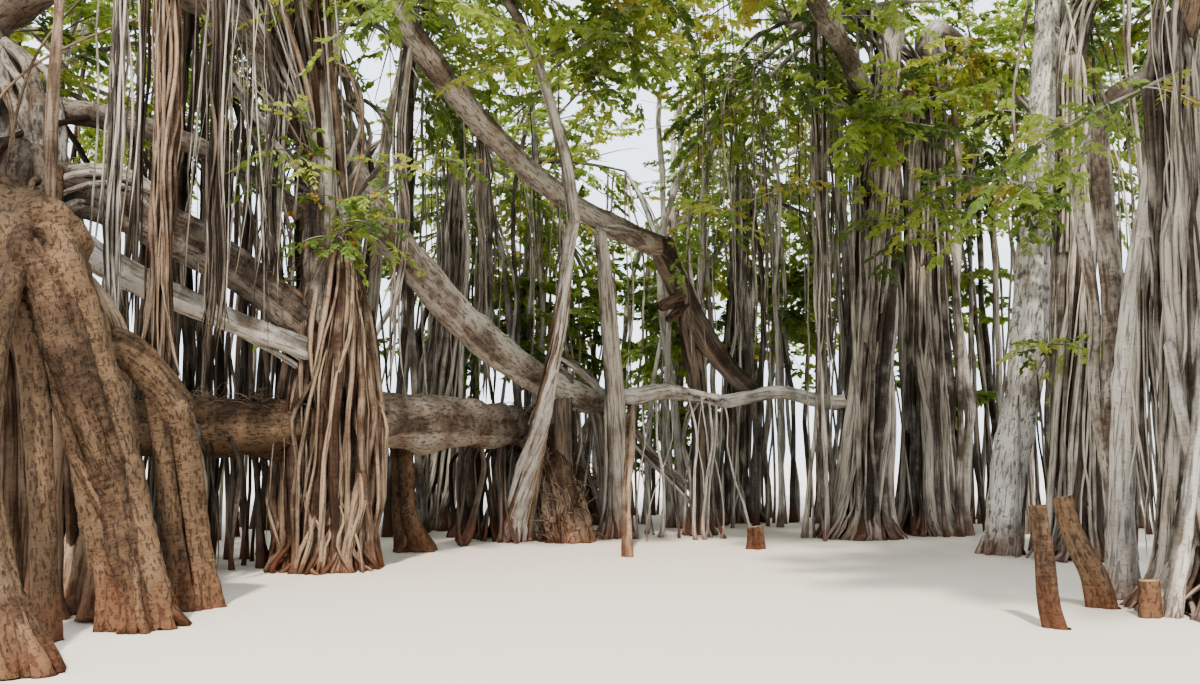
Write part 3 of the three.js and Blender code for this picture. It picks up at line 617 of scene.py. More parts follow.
# One limb: a flat grid is wrapped round the limb's line, its seam and ends are closed, and the bark is raised
def makeLimb(name, limb, seed, replaced=True):
    line = limbLine(limb, reliefSetup["steps"])
    grounded, woven = limb["start"][2] < 0, limb["strands"] > manyStrands
    if not grounded:  # run a little on into what carries it
        line = np.vstack([line[0] - unit(line[1] - line[0]) * limb["thick"] * limb["back"], line])
    if not limb["cut"]:
        line = np.vstack([line, line[-1] + unit(line[-1] - line[-2]) * limb["thin"] * limb["run"]])
    line = evenly(line, reliefSetup["steps"])
    length = stretches(line).sum()
    widest = max(limb["thick"], limb["thin"]) + limb["flare"] * 0.5
    fine = limb["fine"] * (reliefSetup["rearFine"] if inRear(limb) else 1)
    sides = int(np.clip(2 * math.pi * widest / reliefSetup["cell"] * fine, *reliefSetup["sidesBetween"]))
    rings = int(np.clip(length / reliefSetup["ring"] * fine, *reliefSetup["ringsBetween"]))
    bpy.ops.mesh.primitive_grid_add(x_subdivisions=sides, y_subdivisions=rings, size=1)
    piece = bpy.context.object
    piece.name = name + "_bark"
    mesh = piece.data
    flat = readPoints(mesh)
    angles = 2 * math.pi * (flat[:, 0] + 0.5)
    share = np.clip(flat[:, 1] + 0.5, 0, 1)
    steps = np.linspace(0, 1, len(line))
    bend = np.stack([noiseAt(seed, steps * length * 0.7, 4.0 + axis * 9, seed) for axis in range(3)], -1)
    line = line + bend * (np.sin(steps * math.pi) * limb["wander"])[:, None]
    _, across, over = frameOf(line)
    middle = readAt(line, share)
    walked = share * length
    wound = angles + 2 * math.pi * limb["turns"] * share
    radius = shownRadius(limb, share, middle[:, 2])
    outline, shade = ropeOutline(angles, walked, limb, seed)
    foot = np.exp(-np.maximum(middle[:, 2], 0) / reliefSetup["footHeight"]) if grounded else 0
    outline = 1 + (outline - outline.mean()) * limb["ribs"] * (1 + reliefSetup["footRibs"] * foot)
    if woven:
        outline = outline * limb["core"]
    lump = noiseAt(seed + 11, np.cos(angles) * 1.1, np.sin(angles) * 1.1, walked * 1.4)
    outline = outline + reliefSetup["lumps"] * limb["lumpy"] * lump
    draw = np.random.default_rng(seed + 60)
    for _ in range(int(length / reliefSetup["knotEvery"])):  # old branch scars and burls
        turn, far = draw.uniform(0, 2 * math.pi), draw.uniform(0.1, 0.9) * length
        gap = (angles - turn + math.pi) % (2 * math.pi) - math.pi
        size = reliefSetup["knotSize"] * draw.uniform(0.6, 1.3)
        spread = (gap / size) ** 2 + ((walked - far) / (size * max(widest, 0.12))) ** 2
        outline = outline + reliefSetup["knotRise"] * draw.uniform(0.3, 1.0) * np.exp(-spread)
    ends = np.zeros_like(share)
    rounding = np.ones_like(share)
    if not grounded:
        ends += np.exp(-walked / reliefSetup["collarLength"])
        rounding *= np.sqrt(1 - np.clip(1 - walked / limb["thick"], 0, 1) ** 2)
    if not limb["cut"]:
        ends += np.exp(-(length - walked) / reliefSetup["collarLength"]) * 0.6
        rounding *= np.sqrt(1 - np.clip(1 - (length - walked) / limb["thin"], 0, 1) ** 2)
    radius = radius * outline * (1 + reliefSetup["collar"] * ends) * rounding
    outward = readAt(across, share) * np.cos(wound)[:, None] + readAt(over, share) * np.sin(wound)[:, None]
    points = middle + outward * radius[:, None]
    hollowShade = np.zeros_like(share)
    for place, size, depth in hollows:
        away = np.linalg.norm(points - place, axis=1)
        if away.min() > size * 3:
            continue
        dent = np.exp(-(np.linalg.norm(points - points[np.argmin(away)], axis=1) / size) ** 2)
        radius = radius * (1 - depth * dent)
        # painted shade: the middle of each dent is marked for darkening
        hollowShade = np.maximum(hollowShade, np.clip(dent * 1.8 - 0.7, 0, 1))
    setPoints(mesh, middle + outward * radius[:, None])
    setAttribute(mesh, "grain", "FLOAT_VECTOR", np.stack(
        [np.cos(angles) * radius, np.sin(angles) * radius, walked + seed * 2.3], axis=-1))
    setAttribute(mesh, "tone", "FLOAT", 0.2 + 0.6 * shade)
    setAttribute(mesh, "hollowShade", "FLOAT", hollowShade)
    bpy.ops.object.mode_set(mode="EDIT")
    bpy.ops.mesh.select_all(action="SELECT")
    bpy.ops.mesh.remove_doubles(threshold=reliefSetup["seam"])
    bpy.ops.mesh.select_all(action="DESELECT")
    bpy.ops.mesh.select_non_manifold(extend=False)
    bpy.ops.mesh.fill_holes(sides=0)
    bpy.ops.mesh.select_all(action="SELECT")
    bpy.ops.mesh.normals_make_consistent(inside=False)
    bpy.ops.object.mode_set(mode="OBJECT")
    bpy.ops.object.shade_smooth()
    for cloud, strength in clouds:
        raised = piece.modifiers.new("barkRelief", "DISPLACE")
        raised.texture = cloud
        raised.texture_coords = "LOCAL"
        raised.strength = strength * min(widest, 0.45)
        raised.mid_level = 0.5
        bpy.ops.object.modifier_apply(modifier=raised.name)
    setPoints(mesh, readPoints(mesh))
    # a woven limb's core, seen only in the gaps between its strands, takes the dark bark: painted shade between the
    # strands
    mesh.materials.append(barks["barkDark" if woven else limb["bark"]])
    if limb["cut"]:
        mesh.materials.append(cutWood)
        for face in mesh.polygons:
            face.material_index = int(len(face.vertices) > 4 and face.center.z > 0.02)
    if replaced:
        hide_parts(name)
    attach(piece, "root")
    bpy.ops.object.select_all(action="DESELECT")


for number, (name, limb) in enumerate(limbs.items()):
    makeLimb(name, limb, number + 1)
print("limbs with bark relief:", len(limbs))


# Separate roots that run down the outside of a pillar, some behind others, with toes at the ground
strandSetup = {"steps": 38, "sides": 6, "toeSpread": 0.16, "toeHeight": 0.2, "sink": 0.45, "behind": (0.74, 1.06),
               "winding": 0.38, "wriggle": 0.10, "weave": 0.12, "swell": 0.22, "slimmer": 0.3}


def strandsOn(name, limb, seed):
    draw = np.random.default_rng(seed * 101 + 7)
    count, steps = limb["strands"], strandSetup["steps"]
    line = limbLine(limb, steps)
    share = np.linspace(0, 1, steps)
    length = stretches(line).sum()
    _, across, over = frameOf(line)
    radius = shownRadius(limb, share, line[:, 2])
    foot = np.exp(-np.maximum(line[:, 2], 0) / strandSetup["toeHeight"])
    number = np.arange(count)
    turning = limb["turns"] + limb["crossing"] * draw.uniform(-1, 1, count)

    def drift(pace, lane):
        return noiseAt(seed + lane, share * length * pace, number[:, None] * 4.3, float(seed + lane))

    angle = (2 * math.pi * (number + draw.uniform(-0.5, 0.5, count)) / count)[:, None] \
        + 2 * math.pi * turning[:, None] * share + strandSetup["winding"] * drift(0.45, 0) \
        + strandSetup["wriggle"] * drift(1.8, 9)
    depth = draw.uniform(*strandSetup["behind"], count)[:, None]
    lastShare = draw.uniform(0.5, 1.15, count)[:, None]
    leaving = np.clip((share - lastShare + 0.15) / 0.15, 0, 1)
    away = radius * (depth + strandSetup["weave"] * drift(0.9, 40) - strandSetup["sink"] * leaving) \
        + foot * strandSetup["toeSpread"] * draw.uniform(-0.1, 1.2, count)[:, None] * min(1, limb["thick"] * 2)
    size = limb["strandSize"] * (0.38 + 1.25 * draw.random(count) ** 2.0)
    thick = size[:, None] * (1 + 0.5 * foot) * (1 + strandSetup["swell"] * drift(1.2, 70)) \
        * (1 - strandSetup["slimmer"] * share)
    tubePiece(name + "_strands", around(line, across, over, angle, away), thick,
              strandSetup["sides"] - inRear(limb), limb["strandBark"] or limb["bark"], draw, seed)


# Thin toes that leave the foot of a pillar or leg and root a little way out
toeSetup = {"steps": 11, "sides": 5, "swing": 0.35}


def toesOn(name, limb, seed, count, high, out, thick):
    draw = np.random.default_rng(seed * 71 + 5)
    share = np.linspace(0, 1, toeSetup["steps"])
    foot = limbLine(limb, 80)
    foot = foot[foot[:, 2] > 0]
    lines = []
    for _ in range(count):
        angle, top = draw.uniform(0, 2 * math.pi), draw.uniform(*high)
        start = foot[np.argmin(np.abs(foot[:, 2] - top))]
        wide = shownRadius(limb, 0.0, top) * 0.8
        near = limb["thick"] + limb["flare"] * limb["slimFoot"] * 0.8 + draw.uniform(*out)
        away = wide + (near - wide) * share ** 2.0
        turn = angle + draw.uniform(-toeSetup["swing"], toeSetup["swing"]) * share \
            + 0.10 * np.sin(share * draw.uniform(4, 9) + angle)
        line = start + (foot[0] - start) * share[:, None] \
            + np.stack([np.cos(turn) * away, np.sin(turn) * away, 0 * away], axis=1)
        line[:, 2] = top * (1 - share) ** 0.85 - 0.01 * share
        lines.append(line)
    wide = draw.uniform(*thick, count)[:, None] * (0.35 + 0.9 * np.clip(share * 2.2, 0, 1))
    tubePiece(name + "_toes", lines, wide, toeSetup["sides"], limb["bark"], draw, seed)


legToes = {  # legs that stand by themselves: how many toes, how high they start, how far out, how thick
    "knee_leg": (14, (0.3, 1.1), (0.0, 0.09), (0.03, 0.06)),
    "arch_leg": (9, (0.2, 0.7), (0.01, 0.10), (0.02, 0.045)),
    "inner_leg": (8, (0.2, 0.7), (0.01, 0.10), (0.02, 0.045)),
    "edge_leg": (10, (0.2, 0.8), (0.01, 0.12), (0.025, 0.05)),
    "bough_leg_near": (8, (0.15, 0.5), (0.0, 0.12), (0.02, 0.04)),
    "bough_leg_far": (12, (0.3, 1.2), (0.0, 0.16), (0.025, 0.05)),
    "thick_prop": (14, (0.2, 1.0), (0.0, 0.16), (0.02, 0.045)),
    "left_prop": (10, (0.2, 0.8), (0.0, 0.14), (0.015, 0.035)),
    "grey_prop": (10, (0.2, 0.8), (0.0, 0.14), (0.015, 0.035)),
    "drop_prop": (8, (0.2, 0.8), (0.0, 0.14), (0.015, 0.03)),
    "leaning_stem_foot": (9, (0.2, 0.7), (0.0, 0.14), (0.02, 0.045)),
    "smooth_trunk": (9, (0.15, 0.6), (0.0, 0.14), (0.02, 0.045)),
    "low_bough_heel": (26, (0.4, 1.5), (0.0, 0.22), (0.015, 0.05)),
}
for number, (name, limb) in enumerate(limbs.items()):
    if limb["strands"]:
        strandsOn(name, limb, number + 1)
    if limb["strands"] > manyStrands:
        toesOn(name, limb, number + 1, int(limb["strands"] * 0.8), (0.2, 1.2),
               (-0.22, 0.05) if name == "woven_pillar" else (0.0, 0.3), (0.012, 0.034))
    elif name in legToes:
        toesOn(name, limb, number + 1, *legToes[name])
print("roots laid on the pillars, toes at the feet")

# Foliage: the source's rule, then carried on to finer twigs, twiglets and leaves in the same egg-shaped spaces
goldenAngle = math.pi * (3 - math.sqrt(5))
foliageRule = {"leafLength": 2.3, "leafWidth": 1.2, "leafSink": 0.03, "leafSpacing": 0.45,
               "stemRadius": 0.085, "twigRadius": 0.05, "twigsPerMass": 9, "leavesPerTwig": 3,
               "massMargin": 0.04, "limbMargin": 0.03,
               "fineTwigs": 92, "twigletGap": 0.18, "twigletLength": 0.62, "leavesPerTwiglet": 26,
               "trueLeafLength": 0.15, "trueLeafWidth": 0.085, "slack": 0.07, "underTop": 0.35, "sag": 0.10}
twigThick = {"spray": 0.024, "fine": 0.02, "tip": 0.007, "twiglet": (0.009, 0.004)}
masses = {  # limb that carries it, middle, reach, seed
    "foliage_trunk": ("leader", (-0.4, 0.4, 11.0), (3.7, 3.6, 3.1), 11),
    "foliage_left": ("left_bough", (-6.4, -0.9, 9.6), (3.9, 4.0, 3.4), 23),
    "foliage_left_back": ("back_bough", (-3.0, 7.0, 9.2), (4.0, 4.0, 3.5), 37),
    "foliage_left_front": ("front_bough", (-2.2, -7.2, 9.0), (4.0, 3.9, 3.3), 41),
    "foliage_woven": ("left_prop", (3.2, 5.9, 9.4), (3.6, 3.8, 3.5), 53),
    "foliage_stem": ("leaning_stem_top", (6.6, 1.6, 10.2), (3.6, 3.7, 3.6), 67),
    "foliage_back": ("rear_pillar_left", (4.9, 12.8, 8.2), (4.2, 4.2, 4.2), 97),
    "foliage_back_middle": ("rear_pillar_right", (11.0, 14.2, 8.0), (4.0, 4.2, 4.4), 79),
    "foliage_clearing": ("over_bough", (10.4, 0.2, 10.2), (3.6, 3.7, 3.2), 83),
    "foliage_pillar_near": ("right_pillar_near", (10.9, 7.5, 9.8), (3.8, 3.8, 3.9), 103),
    "foliage_pillar_far": ("right_pillar_far", (16.8, 10.6, 9.2), (4.2, 4.2, 4.0), 113),
    "foliage_right": ("smooth_trunk", (17.6, 3.8, 10.0), (3.9, 3.7, 3.8), 127),
    "foliage_edge": ("edge_bough", (12.4, -6.6, 9.6), (3.8, 3.9, 3.2), 131),
    "foliage_outer": ("outer_bough", (18.4, -3.6, 9.2), (3.9, 4.0, 3.4), 149),
}
spaces = {name: (np.array(middle), np.array(reach)) for name, (_, middle, reach, _) in masses.items()}
frameLow, frameHigh = (np.array(corner) for corner in frameBox)
limbSamples = [lineAndRadius(limb, 13) * (1, 1, 1, 1.16 if limb["strands"] > manyStrands else 1)
               for limb in limbs.values()]
capsuleA = np.concatenate([rows[:-1, :3] for rows in limbSamples])  # each stretch of a limb, for room beside it
capsuleB = np.concatenate([rows[1:, :3] for rows in limbSamples])
capsuleR = np.concatenate([np.maximum(rows[:-1, 3], rows[1:, 3]) for rows in limbSamples])


def numbersFrom(seed):
    state = seed * 7919
    while True:
        state = (state * 16807) % 2147483647
        yield state / 2147483647


def inFrame(places):
    return (places > frameLow).all(axis=-1) & (places < frameHigh).all(axis=-1)


# Which of many places lie in a mass's own space and on its own side of each neighbour
def insideSpace(name, places, slack=0.0):
    middle, reach = spaces[name]
    offset = np.atleast_2d(places) - middle
    kept = np.linalg.norm(offset / reach, axis=1) <= 1 + slack
    for other, (otherMiddle, otherReach) in spaces.items():
        if other != name:
            across = otherMiddle - middle
            far = np.linalg.norm(across)
            border = far * reach[0] / (reach[0] + otherReach[0]) - foliageRule["massMargin"]
            kept &= offset @ (across / far) < border + slack
    return kept


# Limbs that show in front of the leaves: how wide a strip stays open on the side of the photograph's viewpoint
openLimbs = {"leaning_stem_top": 0.17, "crooked_bough": 0.2, "smooth_trunk": 0.1}
skyGaps = (  # where more sky shows than leaves: middle and reach across the picture, share left out
    ((-0.225, 0.33), (0.075, 0.13), 0.82), ((0.025, 0.275), (0.045, 0.07), 0.6),
    ((-0.09, 0.37), (0.05, 0.06), 0.35), ((0.13, 0.36), (0.08, 0.07), 0.3),
)


def fromEye(places):
    offset = places - np.array(cameraSetup["place"])
    return offset[:, [0, 2]] / offset[:, 1:2], offset[:, 1]


def hidesSky(places, draw):
    flat, _ = fromEye(places)
    hides = np.zeros(len(places), bool)
    for middle, reach, share in skyGaps:
        hides |= (np.linalg.norm((flat - middle) / reach, axis=1) < 1) & (draw.random(len(places)) < share)
    return hides


def hidesLimb(places):
    hides = np.zeros(len(places), bool)
    flat, far = fromEye(places)
    for limbName, wide in openLimbs.items():
        lineFlat, lineFar = fromEye(limbLine(limbs[limbName], 40))
        away = np.linalg.norm(flat[:, None] - lineFlat[None], axis=2) * lineFar
        hides |= (away.min(axis=1) < wide + limbs[limbName]["thick"]) & (far < lineFar[away.argmin(axis=1)])
    return hides


def clearOfLimbs(start, end, radius):
    spindle = start + (end - start) * np.linspace(0, 1, 9)[:, None, None]
    span = capsuleB - capsuleA
    share = np.clip(((spindle - capsuleA) * span).sum(-1) / (span * span).sum(-1), 0, 1)
    away = np.linalg.norm(spindle - capsuleA - share[..., None] * span, axis=-1)
    return bool((away > capsuleR + radius + foliageRule["limbMargin"]).all())


def arched(start, end, rise, steps):
    return bent(start, (start + end) / 2 + np.array([0, 0, rise]), end, np.linspace(0, 1, steps)[:, None])


def outwardAt(height, angle):
    return turned(angle, math.sqrt(1 - height * height), height)


# The twigs of one mass: its stem, the source's twigs and sprays, then finer twigs from the nearest branch
def growTwigs(name):
    limbName, _, _, seed = masses[name]
    middle, reach = spaces[name]
    rule, draw, loose = foliageRule, numbersFrom(seed), np.random.default_rng(seed)
    tip = np.array(limbs[limbName]["end"], float)
    before = limbLine(limbs[limbName], 30)[-3]
    ahead = tip + (tip - before) / np.linalg.norm(tip - before) * np.linalg.norm(middle - tip) * 0.35
    stem = lineThrough([before, tip, ahead, middle + (0, 0, 0.1)], 14)
    branches = [(stem, np.linspace(limbs[limbName]["thin"] * 1.02, rule["stemRadius"], 14))]
    sprays, hearts = [], []
    for i in range(rule["twigsPerMass"]):
        outward = outwardAt(0.88 - 1.76 * (i + 0.5) / rule["twigsPerMass"], i * goldenAngle + seed)
        end = middle + outward * reach * (0.62 + 0.2 * next(draw))
        start = tip + (middle - tip) * (0.45 + 0.5 * (rule["twigsPerMass"] - i) / rule["twigsPerMass"])
        if not insideSpace(name, end)[0] or not clearOfLimbs(start + (end - start) * 0.15, end, rule["twigRadius"]):
            continue
        root = stem[np.argmin(np.linalg.norm(stem - start, axis=1))]
        twig = arched(root, end, 0.12 * np.linalg.norm(end - root), 10)
        branches.append((twig, np.linspace(rule["twigRadius"] * 1.25, twigThick["spray"], 10)))
        direction = (end - start) / np.linalg.norm(end - start)
        across = unit(np.array([-direction[1], direction[0], 0.4 * next(draw) - 0.2]))
        for j in range(rule["leavesPerTwig"]):
            share = 0.99 if j == 0 else 1 - 0.75 * j / rule["leavesPerTwig"]
            side = 0.3 * next(draw) if j == 0 else (1 if j % 2 == 0 else -1) * (0.8 + 0.3 * next(draw))
            ahead = direction + across * side
            ahead[2] -= 0.25 * next(draw)
            next(draw)
            at = start + (end - start) * share
            leafEnd = at + unit(ahead) * (rule["leafLength"] - rule["leafSink"])
            heart = (at + leafEnd) / 2
            if any(np.linalg.norm(heart - other) < rule["leafSpacing"] * rule["leafLength"] for other in hearts):
                continue
            if not insideSpace(name, leafEnd)[0] or not clearOfLimbs(at, leafEnd, rule["leafWidth"] / 2):
                continue
            hearts.append(heart)
            begin = twig[np.argmin(np.linalg.norm(twig - at, axis=1))]
            sprays.append((arched(begin, leafEnd, 0.1, 8), twigThick["spray"]))
    for i in range(rule["fineTwigs"]):
        outward = outwardAt(0.99 - 1.9 * (i + 0.5) / rule["fineTwigs"], i * goldenAngle + seed * 2.3)
        end = middle + outward * reach * math.sqrt(loose.uniform(0.22, 0.92))
        if not insideSpace(name, end, rule["slack"])[0] or end[2] > frameHigh[2] - rule["underTop"]:
            continue
        nodes = np.concatenate([line[2:] for line, _ in branches])
        begin = nodes[np.argmin(np.linalg.norm(nodes - (end - outward * 1.5), axis=1))]
        if np.linalg.norm(end - begin) < 0.5 or not clearOfLimbs(begin + (end - begin) * 0.3, end, 0.1):
            continue
        rise = 0.1 * loose.uniform(0.2, 1.6) * np.linalg.norm(end - begin)
        sprays.append((arched(begin, end, rise, 8), twigThick["fine"]))
    return branches, sprays


leafLooks = {  # plain colours, dealt out by spray: colour, how often
    # leafSunlit and leafShade are lit and shaded copies of the leaf green: painted sunlight and painted shade
    "leafSunlit": ((0.285, 0.355, 0.10), 0.34),
    "leafMiddle": ((0.18, 0.245, 0.072), 0.30),
    "leafShade": ((0.098, 0.145, 0.048), 0.16),
    "leafYellow": ((0.40, 0.425, 0.135), 0.16),
    "leafRusty": ((0.33, 0.29, 0.09), 0.04),
}
leafGloss = {"roughness": 0.42, "gloss": 0.4, "seeThrough": 0.45, "glow": (1.6, 1.55, 1.1)}


def makeLeafFinish(name, colour):
    finish = Finish(name)
    front = finish.add("ShaderNodeBsdfPrincipled", {}, {
        "Base Color": colour + (1,), "Roughness": leafGloss["roughness"], "Specular IOR Level": leafGloss["gloss"]})
    lit = tuple(min(part * more, 1) for part, more in zip(colour, leafGloss["glow"]))
    glow = finish.add("ShaderNodeBsdfTranslucent", {}, {"Color": lit + (1,)})
    both = finish.add("ShaderNodeMixShader", {}, {0: leafGloss["seeThrough"], 1: front, 2: glow})
    finish.add("ShaderNodeOutputMaterial", {}, {"Surface": both})
    return finish.material


leafFinishes = [makeLeafFinish(name, colour) for name, (colour, _) in leafLooks.items()]
leafShares = np.cumsum([share for _, share in leafLooks.values()])


def sidewaysOf(ahead):
    return unit(np.cross(ahead, (0, 0, 1.0)) + 1e-6)


# Every twiglet along many twigs: where it starts, where it points, how long it is and which spray it is in
def growTwiglets(twigs, draw):
    parts = []
    for group, line in enumerate(twigs):
        shares = np.append(np.arange(0.22, 1.0, foliageRule["twigletGap"] / stretches(line).sum()), 1.0)
        along = readAt(unit(np.gradient(line, axis=0)), shares)
        sign = np.where(np.arange(len(shares)) % 2 == 0, 1, -1)[:, None]
        ahead = along * 0.75 + sidewaysOf(along) * sign * draw.uniform(0.5, 1.1, (len(shares), 1))
        ahead[:, 2] += draw.uniform(-0.55, 0.35, len(shares))
        ahead[-1] = along[-1] + (0, 0, -0.25)
        lengths = foliageRule["twigletLength"] * draw.uniform(0.65, 1.25, len(shares))
        parts.append((readAt(line, shares), unit(ahead), lengths, np.full(len(shares), group)))
    return [np.concatenate(part) for part in zip(*parts)]


leafOutlines = {  # along, across and above a leaf's middle: four points far off, six near the eye
    "far": ((0.0, 0.0, 0.0), (0.38, 0.5, 0.10), (1.0, 0.0, -0.10), (0.38, -0.5, 0.10)),
    "near": ((0.0, 0.0, 0.0), (0.26, 0.44, 0.10), (0.66, 0.42, 0.08), (1.0, 0.0, -0.10),
             (0.66, -0.42, 0.08), (0.26, -0.44, 0.10)),
}
leafHalves = {4: ((0, 1, 2), (0, 2, 3)), 6: ((0, 1, 2, 3), (0, 3, 4, 5))}


def makeLeaves(name, twiglets, draw, outline="far", scale=1.0, each=26):
    begins, aheads, lengths, groups = twiglets
    many = len(begins)
    share = (np.arange(each) + 0.6) / each
    along = 0.18 + 0.84 * share + draw.uniform(-0.03, 0.03, (many, each))
    base = begins[:, None] + aheads[:, None] * (along * lengths[:, None])[..., None]
    base[..., 2] -= foliageRule["sag"] * along ** 2 * lengths[:, None]
    sign = np.where(np.arange(each) % 2 == 0, 1.0, -1.0)[None, :, None]
    ahead = aheads[:, None] * draw.uniform(0.25, 1.0, (many, each, 1)) \
        + sidewaysOf(aheads)[:, None] * sign * draw.uniform(0.5, 1.1, (many, each, 1)) \
        + draw.normal(0, 0.28, (many, each, 3))
    ahead[..., 2] -= draw.uniform(0.0, 0.55, (many, each))
    ahead = unit(ahead)
    face = unit(np.array([0, 0, 1.0]) + draw.normal(0, 0.42, (many, each, 3)))
    over = unit(np.cross(ahead, face))
    face = np.cross(over, ahead)
    size = draw.uniform(0.7, 1.3, (many, each, 1)) * scale
    long, wide = foliageRule["trueLeafLength"] * size, foliageRule["trueLeafWidth"] * size
    corners = np.stack([base + ahead * long * u + over * wide * w + face * wide * h
                        for u, w, h in leafOutlines[outline]], axis=2)
    points = corners.shape[2]
    corners, group = corners.reshape(-1, points, 3), np.repeat(groups, each)
    kept = inFrame(corners).all(axis=1)
    if name in spaces:
        kept &= insideSpace(name, corners[:, points // 2], foliageRule["slack"])
    corners, group = corners[kept], group[kept]
    start = (np.arange(len(corners)) * points)[:, None]
    faces = np.stack([start + half for half in leafHalves[points]], axis=1).reshape(-1, points // 2 + 1)
    piece = meshFromArrays(name + "_leaves", corners.reshape(-1, 3), [faces], leafFinishes[0], "leaves", False)
    for finish in leafFinishes[1:]:
        piece.data.materials.append(finish)
    dealt = np.searchsorted(leafShares, draw.uniform(0, 0.999, groups.max() + 1))
    piece.data.polygons.foreach_set("material_index", np.repeat(dealt[group], 2).astype(np.int32))
    return piece


carriers = [lineAndRadius(limb, 40) for limb in limbs.values()]  # places from which roots can hang, and their radii
leafCount = 0
for name, (_, _, _, seed) in masses.items():
    draw = np.random.default_rng(seed * 13)
    branches, sprays = growTwigs(name)
    for line, radius in branches:
        carriers.append(np.column_stack([evenly(line, 24), np.linspace(radius[0], radius[-1], 24)]))
    lines = [evenly(line, 12) for line, _ in branches]
    radii = [np.linspace(radius[0], radius[-1], 12) for _, radius in branches]
    tubePiece(name + "_boughs", lines, radii, 9, "barkGrey", draw, seed, (0.3, 0.8))
    lines = [evenly(line, 6) for line, _ in sprays]
    radii = [np.linspace(thick, twigThick["tip"], 6) for _, thick in sprays]
    tubePiece(name + "_twigs", lines, radii, 4, "barkPale", draw, seed, (0.2, 0.7))
    twiglets = growTwiglets([line for line, _ in sprays], draw)
    begins, aheads, lengths, _ = twiglets
    ends = begins + aheads * lengths[:, None]
    shown = insideSpace(name, ends, foliageRule["slack"]) & inFrame(ends)
    shown &= ~(hidesLimb(begins) | hidesLimb((begins + ends) / 2) | hidesLimb(ends) | hidesSky(ends, draw))
    twiglets = [part[shown] for part in twiglets]
    begins, aheads, lengths, _ = twiglets
    ends = begins + aheads * lengths[:, None] - foliageRule["sag"] * lengths[:, None] * (0, 0, 1)
    tubePiece(name + "_twiglets", np.stack([begins, ends], axis=1), np.tile(twigThick["twiglet"], (len(ends), 1)), 3,
              "barkPale", None, seed, 0.4)
    leaves = makeLeaves(name, twiglets, draw, each=foliageRule["leavesPerTwiglet"])
    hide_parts(name)
    leafCount += len(leaves.data.polygons) // 2
print("foliage grown, leaves:", leafCount)


# Roots that hang or stand by themselves. Each group: plan area, how many, how thick, bark, how low they reach
# (the ground unless given) and the limb they hang from (the nearest branch unless given)
rootGroups = {
    "rear_right_rows": ((8.0, 13.2), (9.2, 13.6), 56, (0.025, 0.1), "barkPale"),
    "rear_left_rows": ((1.2, 6.4), (9.6, 13.4), 56, (0.03, 0.11), "barkPale"),
    "rear_middle_rows": ((5.4, 9.4), (11.4, 14.6), 36, (0.025, 0.09), "barkPale"),
    "left_middle_rows": ((-1.4, 3.4), (6.4, 10.8), 44, (0.03, 0.1), "barkGrey"),
    "right_rear_rows": ((14.0, 18.6), (7.2, 12.6), 60, (0.03, 0.1), "barkGrey"),
    "left_rear_rows": ((-5.2, 0.6), (4.6, 9.2), 40, (0.03, 0.1), "barkDark"),
    "left_near_rows": ((-4.6, -1.2), (-7.6, -4.4), 9, (0.03, 0.09), "barkDark"),
    "left_far_rows": ((-8.2, -4.2), (-2.6, 1.4), 9, (0.03, 0.09), "barkDark"),
    "outer_rows": ((15.6, 19.6), (-4.4, -1.6), 9, (0.03, 0.09), "barkGrey"),
    "right_side_rows": ((15.6, 19.0), (2.2, 5.4), 12, (0.03, 0.09), "barkGrey"),
    "near_pillar_roots": ((11.3, 12.9), (6.5, 8.0), 18, (0.018, 0.06), "barkGrey"),
    "far_pillar_roots": ((13.0, 14.3), (7.4, 8.9), 18, (0.018, 0.06), "barkGrey"),
    "smooth_trunk_roots": ((13.7, 15.2), (2.5, 4.5), 16, (0.015, 0.05), "barkGrey"),
    "edge_roots": ((12.7, 14.2), (-2.7, -1.2), 11, (0.012, 0.045), "barkGrey"),
    "level_bough_roots": ((7.7, 9.6), (6.4, 8.2), 22, (0.012, 0.045), "barkPale", (0, 0), "level_bough"),
    "knee_roots": ((0.9, 2.1), (-3.2, -2.0), 12, (0.05, 0.13), "barkBrown", (0, 0), "knee_bough"),
    "low_bough_roots": ((1.2, 2.9), (-0.3, 1.3), 26, (0.012, 0.04), "barkDark", (0, 0.5), "low_bough_near"),
    "centre_roots": ((5.2, 7.4), (6.2, 8.6), 20, (0.015, 0.06), "barkGrey", (0, 0), "centre_bough_fall"),
    "left_curtain": ((1.0, 3.2), (-1.6, 1.2), 36, (0.006, 0.018), "barkGrey", (2.6, 4.6)),
    "rear_curtain": ((3.2, 6.6), (5.0, 9.0), 44, (0.007, 0.02), "barkGrey", (2.6, 5.0)),
    "right_curtain": ((9.0, 13.0), (5.0, 9.4), 40, (0.007, 0.02), "barkGrey", (2.8, 5.5)),
    "edge_curtain": ((12.2, 14.2), (-4.2, -1.4), 12, (0.006, 0.018), "barkGrey", (1.6, 4.0)),
    "gap_rows": ((13.4, 16.4), (9.8, 13.6), 34, (0.03, 0.1), "barkGrey"),
    # low_inner_rows and low_far_rows take the dark bark as painted shade under the low bough
    "low_inner_rows": ((0.9, 2.7), (1.4, 4.0), 40, (0.02, 0.08), "barkDark"),
    "low_far_rows": ((4.6, 5.7), (5.2, 7.6), 24, (0.02, 0.07), "barkDark", (0, 0), "low_bough_far"),
}
